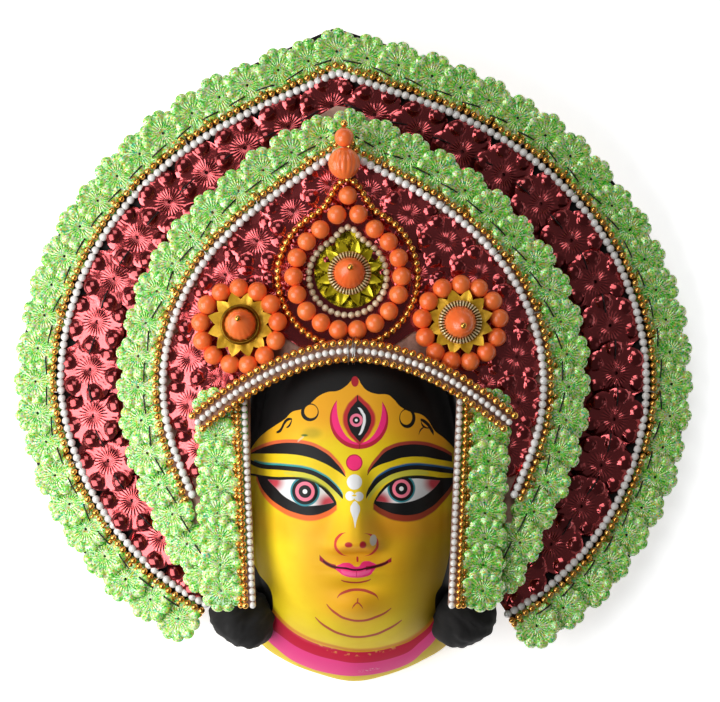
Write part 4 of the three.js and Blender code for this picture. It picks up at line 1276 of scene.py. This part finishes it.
# Bead rosettes

def boxCentre(node):
    low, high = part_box(node)
    return (low + high) / 2 / mm


orangeBead = 11.7
dome = {"radius": 9.7, "flutes": 16, "tip": 2.1, "bezel": 11.3, "knurls": 40, "leaves": 20.6}
finial = {"radius": 9.75, "goldBead": 4.6}
drop = {"radius": 33.2, "peak": 8.5, "peakWidth": 15, "beads": 18, "pearlRadius": 24, "pearlPeak": 6.5}


def loopPath(centre, radius, peak, width, height):
    def place(t):
        angle = 360 * t
        away = min(angle, 360 - angle)
        reach = radius + peak * math.exp(-((away / width) ** 2))
        x = centre.x - reach * math.sin(math.radians(angle))
        y = centre.y + reach * math.cos(math.radians(angle))
        return Vector((x, y, frontOf(innerTier, x) + height))
    return place


spinnerLean = {"left": (-1.0, 3.6), "centre": (0.8, 3.2), "right": (1.5, -2.4)}


def makeSpinner(name, centre, petals, milled):
    leanX, leanY = spinnerLean[name]
    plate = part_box(name + "_foil_flower")[1].z / mm
    reach = dome["leaves"]
    notch = 0.36 if name == "centre" else 0.24
    bm = bmesh.new()

    def leaf(u, v):
        angle = 2 * math.pi * u
        tooth = abs(((u * petals) % 1) - 0.5) * 2
        radius = 2 + (reach * (1 - notch * tooth) - 2) * v
        curl = 1.2 * smooth(v, 0.6, 1.0) * (math.sin(7 * angle) * 0.5 + 0.2)
        crease = 0.35 * (tooth - 0.5) * v
        x, y = radius * math.cos(angle), radius * math.sin(angle)
        z = plate - 0.4 + curl + crease + 0.5 * noise.noise(Vector((x, y, plate)) * 0.4)
        return Vector((centre.x + x, centre.y + y, z))

    mappedGrid(bm, petals * 8, 7, leaf, 0.3, True)
    if name == "centre":
        def crumple(u, v):
            angle = 360 * u
            away = min(angle, 360 - angle)
            radius = v * (21.5 + 4.5 * math.exp(-((away / 18) ** 2)))
            x = centre.x - radius * math.sin(math.radians(angle))
            y = centre.y + radius * math.cos(math.radians(angle))
            lump = noise.noise(Vector((x, y, 0)) * 0.32)
            return Vector((x, y, frontOf(innerTier, x) + 3.2 + 1.6 * lump))

        petalFaces = len(bm.faces)
        mappedGrid(bm, 96, 14, crumple, 0.3, True)
        bm.faces.ensure_lookup_table()
        for face in bm.faces[petalFaces:]:
            face.material_index = 1
    base = frontOf(innerTier, centre.x)
    place = Matrix.Translation((centre.x, centre.y, (base + 1 + plate) / 2))
    tall = plate - base - 1
    bmesh.ops.create_cone(bm, cap_ends=True, segments=24, radius1=6, radius2=6, depth=tall, matrix=place)
    finish = "yellowFoil" if name == "centre" else "matteYellowFoil"
    materials = [finish, "crumpledFoil"]
    finishPiece(name + "FoilFlower", bm, materials, [name + "_foil_flower"], 40, False)

    low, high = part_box(name + "_bezel")
    floor, top = low.z / mm, high.z / mm
    bm = bmesh.new()

    def bezel(u, v):
        angle = 2 * math.pi * u
        turn = 2 * math.pi * v
        wave = clamp(2.5 * math.cos(dome["knurls"] * angle), -1, 1)
        knurl = 0.6 * wave * max(0.0, math.sin(turn)) if milled else 0
        radius = dome["bezel"] + (2.1 if milled else 1.2) * math.cos(turn)
        height = (floor + top) / 2 + (1.4 + knurl) * math.sin(turn)
        return Vector((centre.x + radius * math.cos(angle), centre.y + radius * math.sin(angle), height))

    mappedGrid(bm, 320, 12, bezel, 0, True)
    for face in bm.faces:
        middle = face.calc_center_median() - centre
        # The milled bezels' grooves take the dark brass as painted shade; a plain bezel is dark brass all
        # round
        groove = math.cos(dome["knurls"] * math.atan2(middle.y, middle.x)) < -0.3
        face.material_index = 1 if groove or not milled else 0
    finishPiece(name + "Bezel", bm, ["paleGold", "darkBrassAndGrooveShade"], [name + "_bezel"], 60)

    low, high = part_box(name + "_dome")
    floor, tall = low.z / mm, (high.z - low.z) / mm
    bm = bmesh.new()
    bmesh.ops.create_uvsphere(bm, u_segments=64, v_segments=32, radius=1)
    whole = bm.verts[:] + bm.edges[:] + bm.faces[:]
    bmesh.ops.bisect_plane(bm, geom=whole, plane_co=(0, 0, 0), plane_no=(0, 0, 1), clear_inner=True)
    bmesh.ops.holes_fill(bm, edges=[edge for edge in bm.edges if edge.is_boundary], sides=0)
    for vert in bm.verts:
        angle = math.atan2(vert.co.y, vert.co.x)
        away = math.hypot(vert.co.x, vert.co.y)
        flute = 1 + 0.02 * math.cos(dome["flutes"] * angle) * smooth(away, 0.3, 0.9)
        vert.co.x *= dome["radius"] * flute
        vert.co.y *= dome["radius"] * flute
        lift = vert.co.z
        shift = Vector((leanX, leanY, 0)) * lift ** 2
        vert.co.z *= tall
        vert.co += Vector((centre.x, centre.y, floor)) + shift
    finishPiece(name + "Dome", bm, ["orange"], [name + "_dome"], 60)

    tip = Vector((centre.x + leanX, centre.y + leanY, boxCentre(name + "_tip_bead").z))
    bm = bmesh.new()
    ball = Matrix.Translation(tip)
    bmesh.ops.create_uvsphere(bm, u_segments=16, v_segments=12, radius=dome["tip"], matrix=ball)
    bmesh.ops.create_cone(bm, cap_ends=True, segments=12, radius1=1.1, radius2=0.7, depth=2,
                          matrix=Matrix.Translation(tip - Vector((0, 0, 1.6))))
    finishPiece(name + "TipBead", bm, ["gold"], [name + "_tip_bead"], 60)


def makeRosettes():
    centre = boxCentre("centre_foil_flower")
    high = foilTop + orangeBead / 2
    plastic = ("orange_plastic", "orange")
    path = loopPath(centre, drop["radius"], drop["peak"], drop["peakWidth"], high)
    count = drop["beads"]
    points = [path((i + 0.5) / count) for i in range(count)]
    makeBeads("centreOrangeBeads", "centre_orange_beads", *plastic, points, orangeBead, 28, 20, 0.25)
    points = [boxCentre("centre_apex_bead")]
    makeBeads("centreApexBead", "centre_apex_bead", *plastic, points, orangeBead, 28, 20)

    outlineRadius = drop["radius"] + orangeBead / 2 + goldBead / 2 + 1.8
    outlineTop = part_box("centre_gold_outline")[1].y / mm - goldBead / 2 - centre.y
    path = loopPath(centre, outlineRadius, outlineTop - outlineRadius, 13, foilTop + goldBead / 2)
    points = spaced(samplePath(path, 500)[:-1], goldBead * 0.96, True)
    makeBeads("centreGoldOutline", "centre_gold_outline", "gold_bead", "gold", points, goldBead, 10, 8, 0.1)
    path = loopPath(centre, drop["pearlRadius"], drop["pearlPeak"], 15, 0.9 + 3.0)
    points = spaced(samplePath(path, 400)[:-1], 4.25, True)
    makeBeads("centrePearlDrop", "centre_pearl_drop", "pearl", "cream", points, 4.3, 12, 8, 0.1)
    makeSpinner("centre", centre + Vector((1.0, 2.0, 0)), 12, True)
    for name, milled, shift, spinnerShift in (
        ("left", False, (1.4, -1.4, 0), (1.0, 1.2, 0)),
        ("right", True, (0, -2.0, 0), (-0.6, 0.6, 0)),
    ):
        middle = boxCentre(name + "_dome") + Vector(shift)
        path = loopPath(middle, 24, 0, 1, high)
        points = [path(i / 13) for i in range(13)]
        size = orangeBead * 1.02
        makeBeads(name + "OrangeBeads", name + "_orange_beads", *plastic, points, size, 28, 20, 0.3)
        makeSpinner(name, middle + Vector(spinnerShift), 12, milled)
    print("rosettes")


def makeFinial():
    centre = boxCentre("finial_fluted_bead")
    bm = bmesh.new()
    bmesh.ops.create_uvsphere(bm, u_segments=96, v_segments=48, radius=1)
    for vert in bm.verts:
        angle = math.atan2(vert.co.y, vert.co.x)
        flute = 1 - 0.05 * (1 - abs(math.cos(8 * angle))) * smooth(1 - abs(vert.co.z), 0.05, 0.5)
        vert.co.x *= flute
        vert.co.y *= flute
    upright = Matrix.Rotation(math.radians(90), 4, "X")
    place = Matrix.Translation(centre) @ upright @ Matrix.Scale(finial["radius"], 4)
    bmesh.ops.transform(bm, matrix=place, verts=bm.verts)
    finishPiece("finialFlutedBead", bm, ["orange"], ["finial_fluted_bead"], 70)
    for name, node, size, slot, finish in (
        ("finialSmallBead", "finial_small_bead", orangeBead, "orange_plastic", "orange"),
        ("finialGoldBead", "finial_gold_bead", finial["goldBead"], "gold_bead", "gold"),
    ):
        makeBeads(name, node, slot, finish, [boxCentre(node)], size, 28, 20)
    print("finial")


# Boards, hair, wires

def reachFromCentre(angle, inside):
    near, far = 0.0, 2 * outerTier["radius"]
    for _ in range(30):
        middle = (near + far) / 2
        x = middle * math.cos(math.radians(angle))
        y = crownCentreY + middle * math.sin(math.radians(angle))
        if inside(x, y):
            near = middle
        else:
            far = middle
    return near


def makeBoards():
    def behindShell(tier):
        return lambda x, y: shellHeight(x, y) > frontOf(tier, x) - boardThickness - 0.6

    def faceOpening(x, y):
        face = y < browY(x) - brow["stripHalf"] + 2 and abs(x) < panel["topX"] - 2.5
        return behindShell(innerTier)(x, y) or face

    jobs = (
        ("outer", outerTier, behindShell(outerTier), "card", ["blackCard", "kraft"], 180),
        ("inner", innerTier, faceOpening, "felt", ["felt", "kraft"], 160),
    )
    for name, tier, inside, slot, materials, steps in jobs:
        bm = bmesh.new()
        reaches = {}

        def sheet(u, v):
            angle = tierAngle(tier["end"], u)
            if u not in reaches:
                reaches[u] = reachFromCentre(angle, inside) - radiusAt(tier, angle) + 0.9
            edge = blend(26.4, 28.4, math.exp(-(((angle - 93) / 14) ** 2)))
            return tierPoint(tier, angle, blend(reaches[u], edge, v), 0)

        mappedGrid(bm, steps, 14, sheet, boardThickness)
        bmesh.ops.recalc_face_normals(bm, faces=bm.faces)
        for face in bm.faces:
            if face.normal.z < -0.3:
                face.material_index = 1
        finishPiece(name + "Board", bm, materials, [name + "_crown_board"], 40, False)
    print("boards")


bunch = {"x": 70, "y": -163.5, "z": 38, "reach": (21.5, 20.5, 18.5), "lean": 5, "faceEdge": 74}


def makeHair():
    for name, side in (("left", -1), ("right", 1)):
        middle = Vector((side * bunch["x"], bunch["y"], bunch["z"]))
        wide, tall, deep = bunch["reach"]
        bm = bmesh.new()
        bmesh.ops.create_uvsphere(bm, u_segments=96, v_segments=64, radius=1)
        for vert in bm.verts:
            way = vert.co.normalized()
            across = way.x * side * 0.6 + way.y * 0.8
            fold = noise.noise(Vector((way.x * 1.8, across * 4.5, way.z * 1.8)) + Vector((side * 4, 0, 0)))
            fine = noise.noise(Vector((way.x * 5, across * 11, way.z * 5)))
            swellOut = 0.94 + 0.09 * fold + 0.012 * fine
            reach = Vector((way.x * wide, way.y * tall, way.z * deep))
            vert.co = middle + reach * min(swellOut, 1.02)
            vert.co.x -= side * bunch["lean"] * smooth(-way.y, 0.1, 1.0)
        for vert in bm.verts:
            for _ in range(3):
                lift = shellHeight(vert.co.x, vert.co.y) - 1.0
                if vert.co.z < lift and abs(vert.co.x) < bunch["faceEdge"]:
                    vert.co.x += side * 1.0
        finishPiece(name + "HairBunch", bm, ["hairCloth"], [name + "_hair_bunch"], 180)
    print("hair bunches")


def makeWires():
    bm = bmesh.new()
    path = samplePath(lambda t: tierPoint(outerTier, tierAngle(outerTier["end"], t), 25.1, -4.8), 160)
    addTube(bm, path, 1.5, 10)
    finishPiece("outerRimWire", bm, ["wire"], ["outer_rim_wire"], 60)

    stitches = bmesh.new()
    rows = []
    for tier, offset in ((outerTier, 9.6), (innerTier, 12.2)):
        angles = anglesByPitch(tier, tier["end"], border["offset"], border["pitch"])
        rows += [(tier, (a + b) / 2, offset, 7.4, 5.4) for a, b in zip(angles, angles[1:])]
    angles = anglesByPitch(outerTier, outerTier["end"] - 1, -21, redPitch)
    rows += [(outerTier, (a + b) / 2, redOffset, 9.0, 6.6) for a, b in zip(angles, angles[1:])]
    for tier, angle, offset, height, half in rows:
        turn = math.degrees(half / radiusAt(tier, angle))
        tilt = draw.uniform(-1.2, 1.2)
        ends = []
        for share in (-1, -0.6, 0, 0.6, 1):
            ends.append(tierPoint(tier, angle + share * turn, offset + tilt * share, height))
        ends[0].z -= 1.6
        ends[-1].z -= 1.6
        addTube(stitches, ends, 0.48, 6)
    finishPiece("stitchWires", stitches, ["wire"], (), 60)

    loops = bmesh.new()
    for tier, end, step in ((outerTier, 52, 46), (innerTier, 32, 44)):
        for angle in anglesByPitch(tier, end, 3, step):
            arch = []
            for i in range(9):
                t = i / 8
                rise = 2.4 + 5.6 * math.sin(math.pi * t)
                arch.append(tierPoint(tier, angle + 0.3 * math.sin(4 * t), blend(-3.2, 8.4, t), rise))
            addTube(loops, arch, 0.28, 6)
    for x in (-3.4, -0.6, 0.8):
        arch = []
        for i in range(9):
            t = i / 8
            arch.append(browPoint(x + 0.4 * t, blend(-8.4, 8.4, t), 1.6 + 6.2 * math.sin(math.pi * t) ** 0.5))
        addTube(loops, arch, 0.3, 6)
    finishPiece("bindingLoops", loops, ["silverWire"], (), 60)
    for index in range(1, 6):
        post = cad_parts["tier_post_%d" % index]
        post.data.materials.clear()
        post.data.materials.append(finishes["wire"])
    print("wires")


def addStage():
    bm = bmesh.new()
    bmesh.ops.create_grid(bm, x_segments=1, y_segments=1, size=2.5)
    mesh = bpy.data.meshes.new("floor")
    bm.to_mesh(mesh)
    bm.free()
    floor = bpy.data.objects.new("floor", mesh)
    white = srgb(250, 250, 250)
    glow = {"Emission_Color": white, "Emission_Strength": 0.7}  # keeps the sheet as pale as in the photograph
    paper = startMaterial("paleFloor", white, 0.9, **glow)[0]
    mesh.materials.append(paper)
    scene.collection.objects.link(floor)
    scene.view_settings.view_transform = "Standard"
    world = bpy.data.worlds.new("studio")
    scene.world = world
    world.use_nodes = True
    world.node_tree.nodes["Background"].inputs["Color"].default_value = (1, 1, 1, 1)
    world.node_tree.nodes["Background"].inputs["Strength"].default_value = 0.08
    lamps = (
        ("key", (-0.63, -0.14, 0.56), 0.74, 7.7),
        ("top", (-0.15, 1.1, 1.4), 1.0, 8),
        ("fill", (1.7, -0.4, 1.0), 0.8, 0.5),
    )
    for name, place, size, power in lamps:
        light = bpy.data.lights.new(name, "AREA")
        light.shape = "SQUARE"
        light.size = size
        light.energy = power
        lamp = bpy.data.objects.new(name, light)
        lamp.location = place
        lamp.rotation_euler = (-Vector(place)).to_track_quat("-Z", "Y").to_euler()
        scene.collection.objects.link(lamp)


addCamera()
addStage()
makeFaceShell()
print("face shell")
makeTier("outer", outerTier, 56, 56)
makeTier("inner", innerTier, 55, 34)
makeOuterFoil()
makeInnerFoil()
makeBrowBand()
makeSidePanels()
makeRosettes()
makeFinial()
makeBoards()
makeHair()
makeWires()
